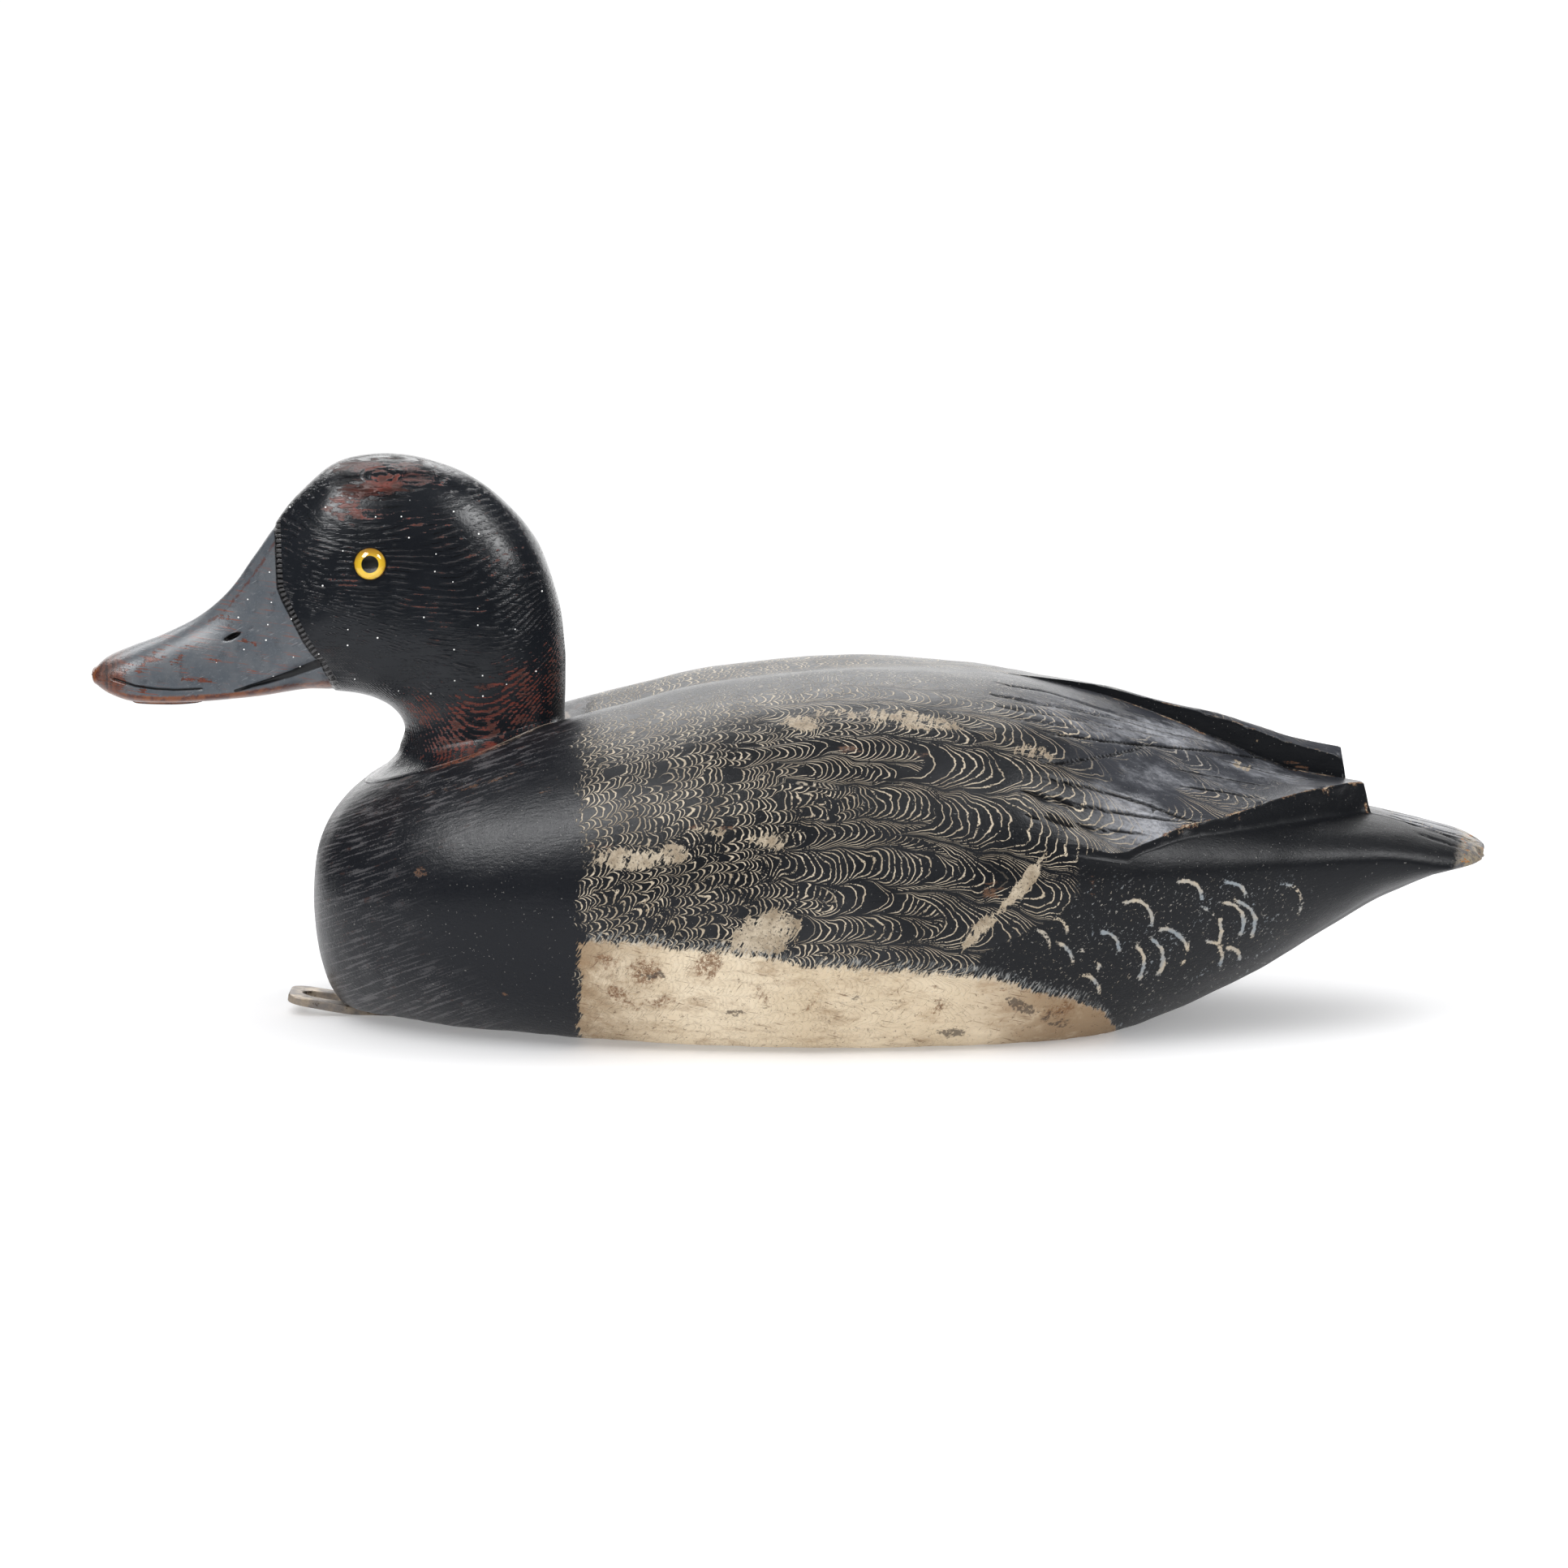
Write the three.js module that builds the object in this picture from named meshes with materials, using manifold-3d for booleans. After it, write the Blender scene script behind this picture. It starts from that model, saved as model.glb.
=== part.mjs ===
// A working duck decoy of a drake bluebill, carved from wood and painted.
// The bill points to -X, the tail to +X, +Y is the bird's right side and +Z is up.
// The origin is where it stands, at the middle of its length. Millimetres.
// Pieces: the body, the head with its neck and bill, two glass eyes and the metal line tie.
import * as THREE from "three";
import { mergeVertices } from "three/addons/utils/BufferGeometryUtils.js";
import Module from "manifold-3d";

const wasm = await Module();
wasm.setup();

// Driving dimensions
const BILL_TIP_X = -184;
const BILL_TIP_Z = 90;
const BREAST_X = -125.6;
const TAIL_TIP_X = 184;
const BODY_LENGTH = TAIL_TIP_X - BREAST_X;
const FIT_GAP = 0.3;

// The neck seat: a flat cut in the top of the breast that falls towards the bill.
const SEAT_BACK_X = -59.2;
const SEAT_BACK_Z = 74;
const SEAT_SLOPE = 0.225;
const SEAT_MIDDLE_X = -85.6;
const SEAT_HALF_LENGTH = 26.4;
const SEAT_HALF_WIDTH = 25.5;
const SEAT_FRONT_SPREAD = 0.14;
const SEAT_ROUNDNESS = 2.3;
const SEAT_SIDES = 48;
const SEAT_CUT = 40;

// Glass eyes
const EYE_X = -108.4;
const EYE_Z = 121.6;
const EYE_RADIUS = 4.1;
const EYE_DOME = 2.6;
const EYE_DEPTH = 3.2;
const EYE_SUNK = 0.24;
const EYE_STEPS = 5;
const EYE_SIDES = 22;
const SHARE_STEP = 0.004;
const ANGLE_STEP = 0.02;

// Line tie: a metal strap under the breast, its free end sprung up from the floor.
// The decoy stands on this strap and on the back end of its own flat bottom.
const TIE_WIDTH = 19;
const TIE_THICKNESS = 2.2;
const TIE_BEND_X = -113.5;
const TIE_BACK_X = -88;
const TIE_REACH = 19.5;
const TIE_RISE_DEGREES = 9.5;
const TIE_END_RADIUS = 6;
const SLOT_WIDTH = 8;
const SLOT_LENGTH = 12;
const SLOT_FROM_END = 3.4;
const TIE_BEND_LAP = 1.2;
const TIE_BEND_CORNER = 0.05;
const REST_BACK_X = 90;
const BOTTOM_SLOPE = (TIE_THICKNESS + FIT_GAP) / (REST_BACK_X - TIE_BACK_X);

// Where a distance along the body lies on a scale that is fine at both rounded ends.
function bodyShare(x) {
  const share = THREE.MathUtils.clamp((x - BREAST_X) / BODY_LENGTH, 0, 1);
  return Math.acos(1 - 2 * share) / Math.PI;
}

// Monotone cubic curve through [position, value] pairs.
function curveThrough(pairs, scale = (x) => x) {
  const at = pairs.map((p) => scale(p[0]));
  const value = pairs.map((p) => p[1]);
  const last = pairs.length - 1;
  const rise = at.slice(1).map((a, i) => (value[i + 1] - value[i]) / (a - at[i]));
  const slope = value.map((v, i) => {
    if (i === 0) return rise[0];
    if (i === last) return rise[last - 1];
    const [before, after] = [rise[i - 1], rise[i]];
    return before * after <= 0 ? 0 : (2 * before * after) / (before + after);
  });
  return (x) => {
    const s = THREE.MathUtils.clamp(scale(x), at[0], at[last]);
    let i = 0;
    while (i < last - 1 && s > at[i + 1]) i++;
    const width = at[i + 1] - at[i];
    const t = (s - at[i]) / width;
    const [t2, t3] = [t * t, t * t * t];
    return (
      (2 * t3 - 3 * t2 + 1) * value[i] +
      (t3 - 2 * t2 + t) * width * slope[i] +
      (3 * t2 - 2 * t3) * value[i + 1] +
      (t3 - t2) * width * slope[i + 1]
    );
  };
}

// Profiles of the body along its length, each [x, size].
const bodyCurve = (pairs) => curveThrough(pairs, bodyShare);
const halfWidth = bodyCurve([
  [-125.6, 0], [-123, 24], [-112, 43], [-85, 62], [-40, 73.5], [5, 76],
  [50, 73], [87, 65], [114, 53], [135, 41.5], [155, 33], [173, 27], [181, 18], [184, 0],
]);
const widestZ = bodyCurve([
  [-125.6, 31], [-110, 35], [-70, 39], [40, 42], [100, 45], [153, 45], [172, 42.6], [184, 44.6],
]);
const backZ = bodyCurve([
  [-125.6, 31], [-124.3, 44.8], [-120.6, 53.4], [-112.2, 62.1], [-98, 71], [-75, 77.8],
  [-46, 85.9], [-16, 92.2], [18, 94.8], [45, 92.6], [82, 84.9], [113, 73.8], [133, 65.6],
  [151, 61.8], [184, 44.4],
]);
const rumpZ = bodyCurve([
  [-125.6, 60], [87, 68], [114, 62.2], [131, 58.4], [157, 53.5], [172, 49.9], [182, 46.4], [184, 44.4],
]);
const bellyRise = bodyCurve([
  [-125.6, 31], [-124, 12.6], [-120.6, 4], [-117, 0.8], [-112, 0], [89, 0],
  [102, 2.4], [114, 7], [126, 12.8], [143, 23.2], [157, 31.4], [173, 38.2], [184, 44.4],
]);
const baseHalfWidth = bodyCurve([
  [-125.6, 0], [-120, 9], [-112, 18], [-100, 28], [-86, 38], [-58, 50], [-30, 57.5], [0, 61],
  [45, 55.5], [70, 46], [85, 36], [96, 28], [112, 22], [130, 18], [152, 16], [173, 14], [184, 0],
]);
const bellyRound = bodyCurve([[-125.6, 0], [60, 0], [80, 0.5], [96, 2.5], [116, 4], [140, 4], [184, 0]]);
const grooveDepth = bodyCurve([
  [-125.6, 0], [-104, 0], [-84, 4], [-59, 6], [-16, 3.8], [18, 2.8], [45, 0.8], [62, 0], [184, 0],
]);
const GROOVE_WIDTH = 14;
const BACK_LATERAL_POWER = 2.2;

// The flat bottom is lifted by the tie under the breast; behind its back end the tail rises.
const bellyZ = (x) => Math.max(0, REST_BACK_X - x) * BOTTOM_SLOPE + bellyRise(x);

// Wings: the tips stand up from the rump, and the right tip lies over the left.
const WING_START_X = 55;
const RUMP_START_X = 66;
const WING_FULL_X = 96;
const LEFT_TIP_X = 153.5;
const RIGHT_TIP_X = 148;
const TIP_BLUNTNESS = 2.4;
const wingEdgeY = bodyCurve([
  [-125.6, 0], [-112, 30], [-60, 50], [20, 66], [60, 68], [80, 66], [91, 60], [101, 52.5],
  [114, 43], [131, 27.5], [143, 16],
  [152, 6.5], [160, 8], [172, 12], [184, 0],
]);
const wingFall = bodyCurve([[-125.6, 2.2], [58, 2.2], [84, 1.9], [104, 1.4], [125, 1.25], [184, 1.25]]);
const wingWall = bodyCurve([
  [-125.6, 0], [74, 0], [87, 0.6], [98, 1.9], [114, 3.6], [131, 6.4], [147, 7.6], [184, 7.6],
]);
const overlapLift = bodyCurve([
  [-125.6, 0], [55, 0], [82, 2.2], [98, 3.5], [113, 6], [133, 7.8], [184, 7.6],
]);
const meetingY = bodyCurve([[-125.6, 0], [55, 0], [100, -2], [145, -4], [165, 0], [184, 0]]);

const smoothstep = THREE.MathUtils.smoothstep;
const lerp = THREE.MathUtils.lerp;

// The carved back as if it had no wings: a superellipse over the widest line, less the middle groove.
function plainBackZ(x, y, top) {
  const across = Math.min(1, Math.abs(y) / halfWidth(x));
  const arch = Math.sqrt(Math.max(0, 1 - across ** BACK_LATERAL_POWER));
  const groove = grooveDepth(x) * Math.exp(-((y / GROOVE_WIDTH) ** 2));
  return widestZ(x) + (top - widestZ(x)) * arch - groove;
}

// The rump and flanks that the wings lie on.
function rumpSurfaceZ(x, y) {
  const rumpShare = smoothstep(x, RUMP_START_X, WING_FULL_X);
  const top = lerp(backZ(x), rumpZ(x), rumpShare);
  return plainBackZ(x, y, top);
}

// The share of the wing's height that is left at x: all of it, then a blunt end at the tip.
function tipShare(x, tipX) {
  return 1 - smoothstep(x, tipX - TIP_BLUNTNESS, tipX);
}

// The top of a wing: highest where the wings meet, falling to its outer edge. Side is 1 on the right.
function wingSurfaceZ(x, y, side) {
  const edge = wingEdgeY(x);
  const share = smoothstep(x, WING_START_X, WING_FULL_X);
  const tip = tipShare(x, side > 0 ? RIGHT_TIP_X : LEFT_TIP_X);
  const edgeZ = rumpSurfaceZ(x, edge) + wingWall(x);
  const out = Math.min(1, Math.abs(y) / edge);
  const folded = lerp(backZ(x), edgeZ, out ** wingFall(x));
  const lift = side > 0 ? overlapLift(x) * (1 - out) : 0;
  const wing = lerp(plainBackZ(x, y, backZ(x)), folded, share) + lift;
  return lerp(rumpSurfaceZ(x, y), wing, tip);
}

// How finely a half section is drawn, and the shares of the half width that keep its parts in order.
const WING_STEPS = 7;
const WING_WIDEST_SHARE = 0.97;
const FLANK_WIDEST_SHARE = 0.985;
const MEETING_WALL = 0.4;
const WALL_LEAN = 0.9;
const FLANK_STEPS = 6;
const SIDE_STEPS = 5;
const SIDE_SWEEP = THREE.MathUtils.degToRad(66);
const EDGE_ROUND = 2.2;
const EDGE_ROUND_SHARE = 0.3;
const EDGE_STEPS = 2;
const BASE_STEPS = 3;

// Half of a cross-section, from the wings' meeting line down to the middle of the underside.
function halfSection(x, side) {
  const points = [];
  const width = halfWidth(x);
  const edge = Math.min(wingEdgeY(x), width * WING_WIDEST_SHARE);
  const inner = side > 0 ? meetingY(x) + MEETING_WALL : -meetingY(x);
  for (let i = 0; i <= WING_STEPS; i++) {
    const y = lerp(inner, edge, i / WING_STEPS);
    points.push([side * y, wingSurfaceZ(x, side * y, side)]);
  }
  const flankStart = Math.min(edge + WALL_LEAN, width * FLANK_WIDEST_SHARE);
  const startAngle = Math.asin(flankStart / width);
  for (let i = 0; i <= FLANK_STEPS; i++) {
    const y = width * Math.sin(lerp(startAngle, Math.PI / 2, i / FLANK_STEPS));
    points.push([side * y, rumpSurfaceZ(x, y)]);
  }
  const base = baseHalfWidth(x);
  const low = bellyZ(x) + bellyRound(x);
  const round = Math.min(EDGE_ROUND, base * EDGE_ROUND_SHARE);
  const sideAt = (angle) => [
    width - ((width - base) * (1 - Math.cos(angle))) / (1 - Math.cos(SIDE_SWEEP)),
    widestZ(x) - ((widestZ(x) - low) * Math.sin(angle)) / Math.sin(SIDE_SWEEP),
  ];
  const lastAngle = SIDE_SWEEP * (1 - round / widestZ(x));
  for (let i = 1; i <= SIDE_STEPS; i++) {
    const [y, z] = sideAt((lastAngle * i) / SIDE_STEPS);
    points.push([side * y, z]);
  }
  const [cornerY, cornerZ] = sideAt(lastAngle);
  const bottomAt = (y) => bellyZ(x) + bellyRound(x) * (y / base) ** 2;
  for (let i = 1; i <= EDGE_STEPS; i++) {
    const t = i / EDGE_STEPS;
    const flatY = base - round;
    const y = (1 - t) ** 2 * cornerY + 2 * t * (1 - t) * base + t * t * flatY;
    const z = (1 - t) ** 2 * cornerZ + 2 * t * (1 - t) * bottomAt(base) + t * t * bottomAt(flatY);
    points.push([side * y, z]);
  }
  for (let i = 1; i < BASE_STEPS; i++) {
    const y = (base - round) * (1 - i / BASE_STEPS);
    points.push([side * y, bottomAt(y)]);
  }
  return points;
}

// One closed ring of the body, round from the left half's top, down, under and up the right.
function bodyRing(x) {
  const left = halfSection(x, -1);
  const right = halfSection(x, 1).reverse();
  return [...left, [0, bellyZ(x)], ...right].map(([y, z]) => [x, y, z]);
}

// A closed solid through rings of equal length, closed at each end by a single point or a flat fan.
function solidThroughRings(rings, firstPoint, lastPoint) {
  const vertices = rings.flat();
  const count = rings[0].length;
  const faces = [];
  for (let r = 0; r < rings.length - 1; r++) {
    for (let i = 0; i < count; i++) {
      const a = r * count + i;
      const b = r * count + ((i + 1) % count);
      faces.push(a, b, b + count, a, b + count, a + count);
    }
  }
  const first = vertices.push(firstPoint) - 1;
  const last = vertices.push(lastPoint) - 1;
  const lastRing = (rings.length - 1) * count;
  for (let i = 0; i < count; i++) {
    const next = (i + 1) % count;
    faces.push(first, next, i, last, lastRing + i, lastRing + next);
  }
  return toSolid(new Float32Array(vertices.flat()), faces);
}

// A manifold solid that faces outwards, whichever way round its faces were listed.
function toSolid(positions, faces) {
  const build = (list) =>
    new wasm.Manifold(
      new wasm.Mesh({ numProp: 3, vertProperties: positions, triVerts: new Uint32Array(list) }),
    );
  const made = build(faces);
  if (made.volume() > 0) return made;
  const turned = [];
  for (let i = 0; i < faces.length; i += 3) turned.push(faces[i], faces[i + 2], faces[i + 1]);
  return build(turned);
}

// A solid made of a closed three.js geometry, for cutting and joining.
function fromGeometry(geometry) {
  const bare = geometry.clone();
  bare.deleteAttribute("normal");
  bare.deleteAttribute("uv");
  const merged = mergeVertices(bare, 1e-3);
  return toSolid(merged.attributes.position.array, [...merged.index.array]);
}

// A three.js geometry made of a solid.
function toGeometry(solid) {
  const mesh = solid.getMesh();
  const positions = new Float32Array(mesh.numVert * 3);
  for (let i = 0; i < mesh.numVert; i++) {
    const start = i * mesh.numProp;
    positions.set(mesh.vertProperties.subarray(start, start + 3), i * 3);
  }
  const geometry = new THREE.BufferGeometry();
  geometry.setAttribute("position", new THREE.BufferAttribute(positions, 3));
  geometry.setIndex(new THREE.BufferAttribute(mesh.triVerts, 1));
  geometry.computeVertexNormals();
  return geometry;
}

const BODY_RINGS = 52;
const END_INSET = 0.02;
const TIP_CLEARANCE = 0.8;

// Stations along the body: even on the fine-ended scale, with extra ones at the blunt wing tips.
function bodyStations() {
  const stations = [];
  for (let i = 0; i < BODY_RINGS; i++) {
    const share = lerp(END_INSET, 1 - END_INSET, i / (BODY_RINGS - 1));
    stations.push(BREAST_X + (BODY_LENGTH * (1 - Math.cos(Math.PI * share))) / 2);
  }
  const tips = [LEFT_TIP_X, RIGHT_TIP_X].flatMap((tip) => [tip - TIP_BLUNTNESS, tip]);
  const clear = stations.filter((x) => tips.every((tip) => Math.abs(x - tip) > TIP_CLEARANCE));
  return [...clear, ...tips].sort((a, b) => a - b);
}

const seatZ = (x) => SEAT_BACK_Z + (x - SEAT_BACK_X) * SEAT_SLOPE;

// A point of the seat's outline from above: a superellipse, wider at the front, grown by a margin.
function seatEdge(angle, margin) {
  const power = 2 / SEAT_ROUNDNESS;
  const along = Math.sign(Math.cos(angle)) * Math.abs(Math.cos(angle)) ** power;
  const across = Math.sign(Math.sin(angle)) * Math.abs(Math.sin(angle)) ** power;
  const spread = 1 - SEAT_FRONT_SPREAD * along;
  const x = SEAT_MIDDLE_X + (SEAT_HALF_LENGTH + margin) * along;
  return [x, -(SEAT_HALF_WIDTH * spread + margin) * across];
}

// What is cut from the breast to seat the neck: everything above the seat inside its outline.
function seatCutter() {
  const turn = (2 * Math.PI) / SEAT_SIDES;
  const outline = Array.from({ length: SEAT_SIDES }, (_, i) => seatEdge(turn * i, FIT_GAP));
  const ring = (height) => outline.map(([x, y]) => [x, y, seatZ(x) + height]);
  const middle = (height) => [SEAT_MIDDLE_X, 0, seatZ(SEAT_MIDDLE_X) + height];
  return solidThroughRings([ring(0), ring(SEAT_CUT)], middle(0), middle(SEAT_CUT));
}

// Half width of the breast where the seat's plane cuts it, at x.
function breastHalfWidthAtSeat(x) {
  const rise = (seatZ(x) - widestZ(x)) / (backZ(x) - widestZ(x));
  if (rise >= 1) return 0;
  return halfWidth(x) * (1 - rise * rise) ** (1 / BACK_LATERAL_POWER);
}

// Head stations from the neck's seat, up over the crown and out along the bill to its tip.
// Each gives the back or top point, the throat or under point, the half width,
// how far down the widest line lies, and how square the part above and below it is.
const HEAD_STATIONS = [
  { top: [-59.3, 80.5], under: [-102.6, 71.6], half: 21.6, widest: 0.5, above: 2.1, below: 2.1 },
  { top: [-59.0, 87], under: [-101.4, 75.6], half: 20.9, widest: 0.5, above: 2.1, below: 2.1 },
  { top: [-59.0, 97], under: [-102.3, 79.0], half: 20.9, widest: 0.5, above: 2.1, below: 2.1 },
  { top: [-60.9, 109.9], under: [-105.0, 82.0], half: 22.0, widest: 0.53, above: 2.1, below: 2.1 },
  { top: [-67.2, 126.8], under: [-108.6, 84], half: 22.8, widest: 0.56, above: 2.1, below: 2.2 },
  { top: [-80, 140.1], under: [-112, 85], half: 22.8, widest: 0.6, above: 2.1, below: 2.2 },
  { top: [-94, 146.6], under: [-115.2, 85.6], half: 22.4, widest: 0.6, above: 2.1, below: 2.2 },
  { top: [-107.4, 148.3], under: [-118.6, 85.9], half: 21.6, widest: 0.6, above: 2.1, below: 2.2 },
  { top: [-119, 145.9], under: [-122.4, 86], half: 20.2, widest: 0.6, above: 2.1, below: 2.3 },
  { top: [-128.1, 138.5], under: [-126.8, 86.0], half: 17.8, widest: 0.62, above: 2.0, below: 2.4 },
  { top: [-135, 130.1], under: [-131.8, 85.4], half: 15.2, widest: 0.7, above: 1.9, below: 2.8 },
  { top: [-141.2, 121.4], under: [-138.2, 84.5], half: 13.2, widest: 0.78, above: 1.8, below: 3.2 },
  { top: [-147.4, 112.8], under: [-144.8, 83.8], half: 12.2, widest: 0.82, above: 1.8, below: 3.2 },
  { top: [-155.4, 106], under: [-153, 83.1], half: 12.0, widest: 0.84, above: 1.9, below: 3.2 },
  { top: [-164.8, 101.2], under: [-163.4, 82.6], half: 12.6, widest: 0.8, above: 2.1, below: 3.0 },
  { top: [-173.2, 98], under: [-172.4, 82.9], half: 12.8, widest: 0.72, above: 2.2, below: 2.6 },
  { top: [-179.6, 95.2], under: [-178.8, 84.8], half: 10.2, widest: 0.62, above: 2.2, below: 2.4 },
  { top: [-183, 92.3], under: [-182.7, 87.2], half: 6.0, widest: 0.55, above: 2.2, below: 2.2 },
];

const catmullRom = (a, b, c, d, t) =>
  0.5 *
  (2 * b + (c - a) * t + (2 * a - 5 * b + 4 * c - d) * t * t + (3 * b - a - 3 * c + d) * t ** 3);

// A head station at any share of the way from neck to bill tip.
function headStation(share) {
  const last = HEAD_STATIONS.length - 1;
  const at = THREE.MathUtils.clamp(share, 0, 1) * last;
  const i = Math.min(Math.floor(at), last - 1);
  const four = [i - 1, i, i + 1, i + 2].map((k) => HEAD_STATIONS[THREE.MathUtils.clamp(k, 0, last)]);
  const mix = (read) => catmullRom(...four.map(read), at - i);
  return {
    top: [mix((s) => s.top[0]), mix((s) => s.top[1])],
    under: [mix((s) => s.under[0]), mix((s) => s.under[1])],
    half: mix((s) => s.half),
    widest: mix((s) => s.widest),
    above: mix((s) => s.above),
    below: mix((s) => s.below),
  };
}

// A point of the head: angle 0 is the top, a half turn is the throat, to the bird's left first.
function headPoint(share, angle) {
  const s = headStation(share);
  const [up, out] = [Math.cos(angle), Math.sin(angle)];
  const square = up > 0 ? s.above : s.below;
  const rise = Math.abs(up) ** (2 / square);
  const down = up > 0 ? s.widest * (1 - rise) : s.widest + (1 - s.widest) * rise;
  const y = -Math.sign(out) * s.half * Math.abs(out) ** (2 / square);
  return [lerp(s.top[0], s.under[0], down), y, lerp(s.top[1], s.under[1], down)];
}

const HEAD_RINGS = 36;
const HEAD_SIDES = 30;
const COLLAR_RINGS = 5;
const COLLAR_FALL = 1.7;

// The flare at the neck's foot: from the seat's outline in to the neck, steep at first.
function collarRings() {
  const rings = [];
  for (let r = 0; r < COLLAR_RINGS; r++) {
    const ring = [];
    const rise = r / COLLAR_RINGS;
    for (let i = 0; i < HEAD_SIDES; i++) {
      const angle = (2 * Math.PI * i) / HEAD_SIDES;
      const neck = headPoint(0, angle);
      const [x, edgeY] = seatEdge(angle, 0);
      const room = Math.max(0, breastHalfWidthAtSeat(x) - FIT_GAP);
      const foot = [x, THREE.MathUtils.clamp(edgeY, -room, room), seatZ(x) + FIT_GAP];
      const inward = 1 - (1 - rise) ** COLLAR_FALL;
      ring.push([
        lerp(foot[0], neck[0], inward),
        lerp(foot[1], neck[1], inward),
        lerp(foot[2], neck[2], rise),
      ]);
    }
    rings.push(ring);
  }
  return rings;
}

// All the head's rings, from the neck's foot to the bill's tip.
function headRings() {
  const rings = collarRings();
  for (let r = 0; r < HEAD_RINGS; r++) {
    const ring = [];
    for (let i = 0; i < HEAD_SIDES; i++) {
      ring.push(headPoint(r / (HEAD_RINGS - 1), (2 * Math.PI * i) / HEAD_SIDES));
    }
    rings.push(ring);
  }
  return rings;
}

// The glass eye is turned about its own axis: a dome in front, a shallow bowl behind.
function eyeGeometry(margin) {
  const radius = EYE_RADIUS + margin;
  const profile = [];
  for (let i = 0; i <= 2 * EYE_STEPS; i++) {
    const angle = (Math.PI / 2) * (i / EYE_STEPS - 1);
    const depth = (angle < 0 ? EYE_DEPTH : EYE_DOME) + margin;
    profile.push(new THREE.Vector2(radius * Math.cos(angle), depth * Math.sin(angle)));
  }
  profile[0].x = 0;
  profile[2 * EYE_STEPS].x = 0;
  return new THREE.LatheGeometry(profile, EYE_SIDES);
}

// Where the head's side is at the eye, and which way it faces there: the nearest point is searched
// for over the head's shares and angles, and the normal stands across its two directions.
function eyePlace(side) {
  let best = { miss: Infinity };
  for (let share = 0.3; share < 0.62; share += SHARE_STEP) {
    for (let angle = 0.3; angle < 2.2; angle += ANGLE_STEP) {
      const point = headPoint(share, angle);
      const miss = Math.hypot(point[0] - EYE_X, point[2] - EYE_Z);
      if (miss < best.miss) best = { miss, share, angle, point };
    }
  }
  const here = new THREE.Vector3(...best.point);
  const onward = new THREE.Vector3(...headPoint(best.share + SHARE_STEP, best.angle)).sub(here);
  const round = new THREE.Vector3(...headPoint(best.share, best.angle + ANGLE_STEP)).sub(here);
  const normal = onward.cross(round).normalize();
  if (normal.y > 0) normal.negate();
  normal.y *= -side;
  here.y *= -side;
  return { position: here.addScaledVector(normal, -EYE_SUNK), normal };
}

// An eye's place: its own axis, +Y, turned on to the head's normal.
function eyeMatrix(side) {
  const { position, normal } = eyePlace(side);
  const turn = new THREE.Quaternion().setFromUnitVectors(new THREE.Vector3(0, 1, 0), normal);
  return new THREE.Matrix4().compose(position, turn, new THREE.Vector3(1, 1, 1));
}

// A flat strap's outline from above, with its front corners rounded.
function strapShape(backX, frontX, corner) {
  const half = TIE_WIDTH / 2;
  const shape = new THREE.Shape();
  shape.moveTo(backX, -half);
  shape.lineTo(backX, half);
  shape.lineTo(frontX + corner, half);
  shape.absarc(frontX + corner, half - corner, corner, Math.PI / 2, Math.PI, false);
  shape.absarc(frontX + corner, -half + corner, corner, Math.PI, 1.5 * Math.PI, false);
  shape.lineTo(backX, -half);
  return shape;
}

// The line's slot through the free end, with round ends.
function slotHole() {
  const radius = SLOT_WIDTH / 2;
  const front = -TIE_REACH + SLOT_FROM_END + radius;
  const back = front + SLOT_LENGTH - SLOT_WIDTH;
  const hole = new THREE.Path();
  hole.absarc(front, 0, radius, Math.PI / 2, 1.5 * Math.PI, false);
  hole.absarc(back, 0, radius, -Math.PI / 2, Math.PI / 2, false);
  return hole;
}

// The tie's two runs: flat against the bottom, then rising to the free end with the line's slot in it.
function tieSolid() {
  const settings = { depth: TIE_THICKNESS, bevelEnabled: false, curveSegments: 7 };
  const hidden = strapShape(0, TIE_BEND_X - TIE_BACK_X, TIE_BEND_CORNER);
  const flat = new THREE.ExtrudeGeometry(hidden, settings);
  flat.rotateY(Math.atan(BOTTOM_SLOPE));
  flat.translate(TIE_BACK_X, 0, 0);
  const free = strapShape(TIE_BEND_LAP, -TIE_REACH, TIE_END_RADIUS);
  free.holes.push(slotHole());
  const rising = new THREE.ExtrudeGeometry(free, settings);
  rising.rotateY(THREE.MathUtils.degToRad(TIE_RISE_DEGREES));
  rising.translate(TIE_BEND_X, 0, (TIE_BACK_X - TIE_BEND_X) * BOTTOM_SLOPE);
  return fromGeometry(flat).add(fromGeometry(rising));
}

// The body is one carving, with its wings and tail, less the seat for the neck.
function buildBody() {
  const rings = bodyStations().map(bodyRing);
  const whole = solidThroughRings(
    rings,
    [BREAST_X, 0, widestZ(BREAST_X)],
    [TAIL_TIP_X, 0, widestZ(TAIL_TIP_X)],
  );
  return whole.subtract(seatCutter());
}

// The head, neck and bill are one carving, less a socket for each eye.
function buildHead() {
  const rings = headRings();
  const foot = [SEAT_MIDDLE_X, 0, seatZ(SEAT_MIDDLE_X) + FIT_GAP];
  const whole = solidThroughRings(rings, foot, [BILL_TIP_X, 0, BILL_TIP_Z]);
  const sockets = [-1, 1].map((side) => fromGeometry(eyeGeometry(FIT_GAP).applyMatrix4(eyeMatrix(side))));
  return sockets.reduce((head, socket) => head.subtract(socket), whole);
}

// Paint, glass and metal
const blackPaint = new THREE.MeshStandardMaterial({ color: 0x26282c, roughness: 0.5, metalness: 0 });
const backPaint = new THREE.MeshStandardMaterial({ color: 0x3a3b3e, roughness: 0.55, metalness: 0 });
const yellowGlass = new THREE.MeshStandardMaterial({ color: 0xd8a818, roughness: 0.05, metalness: 0 });
const oldBrass = new THREE.MeshStandardMaterial({ color: 0x7a6a52, roughness: 0.6, metalness: 0.7 });

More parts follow.
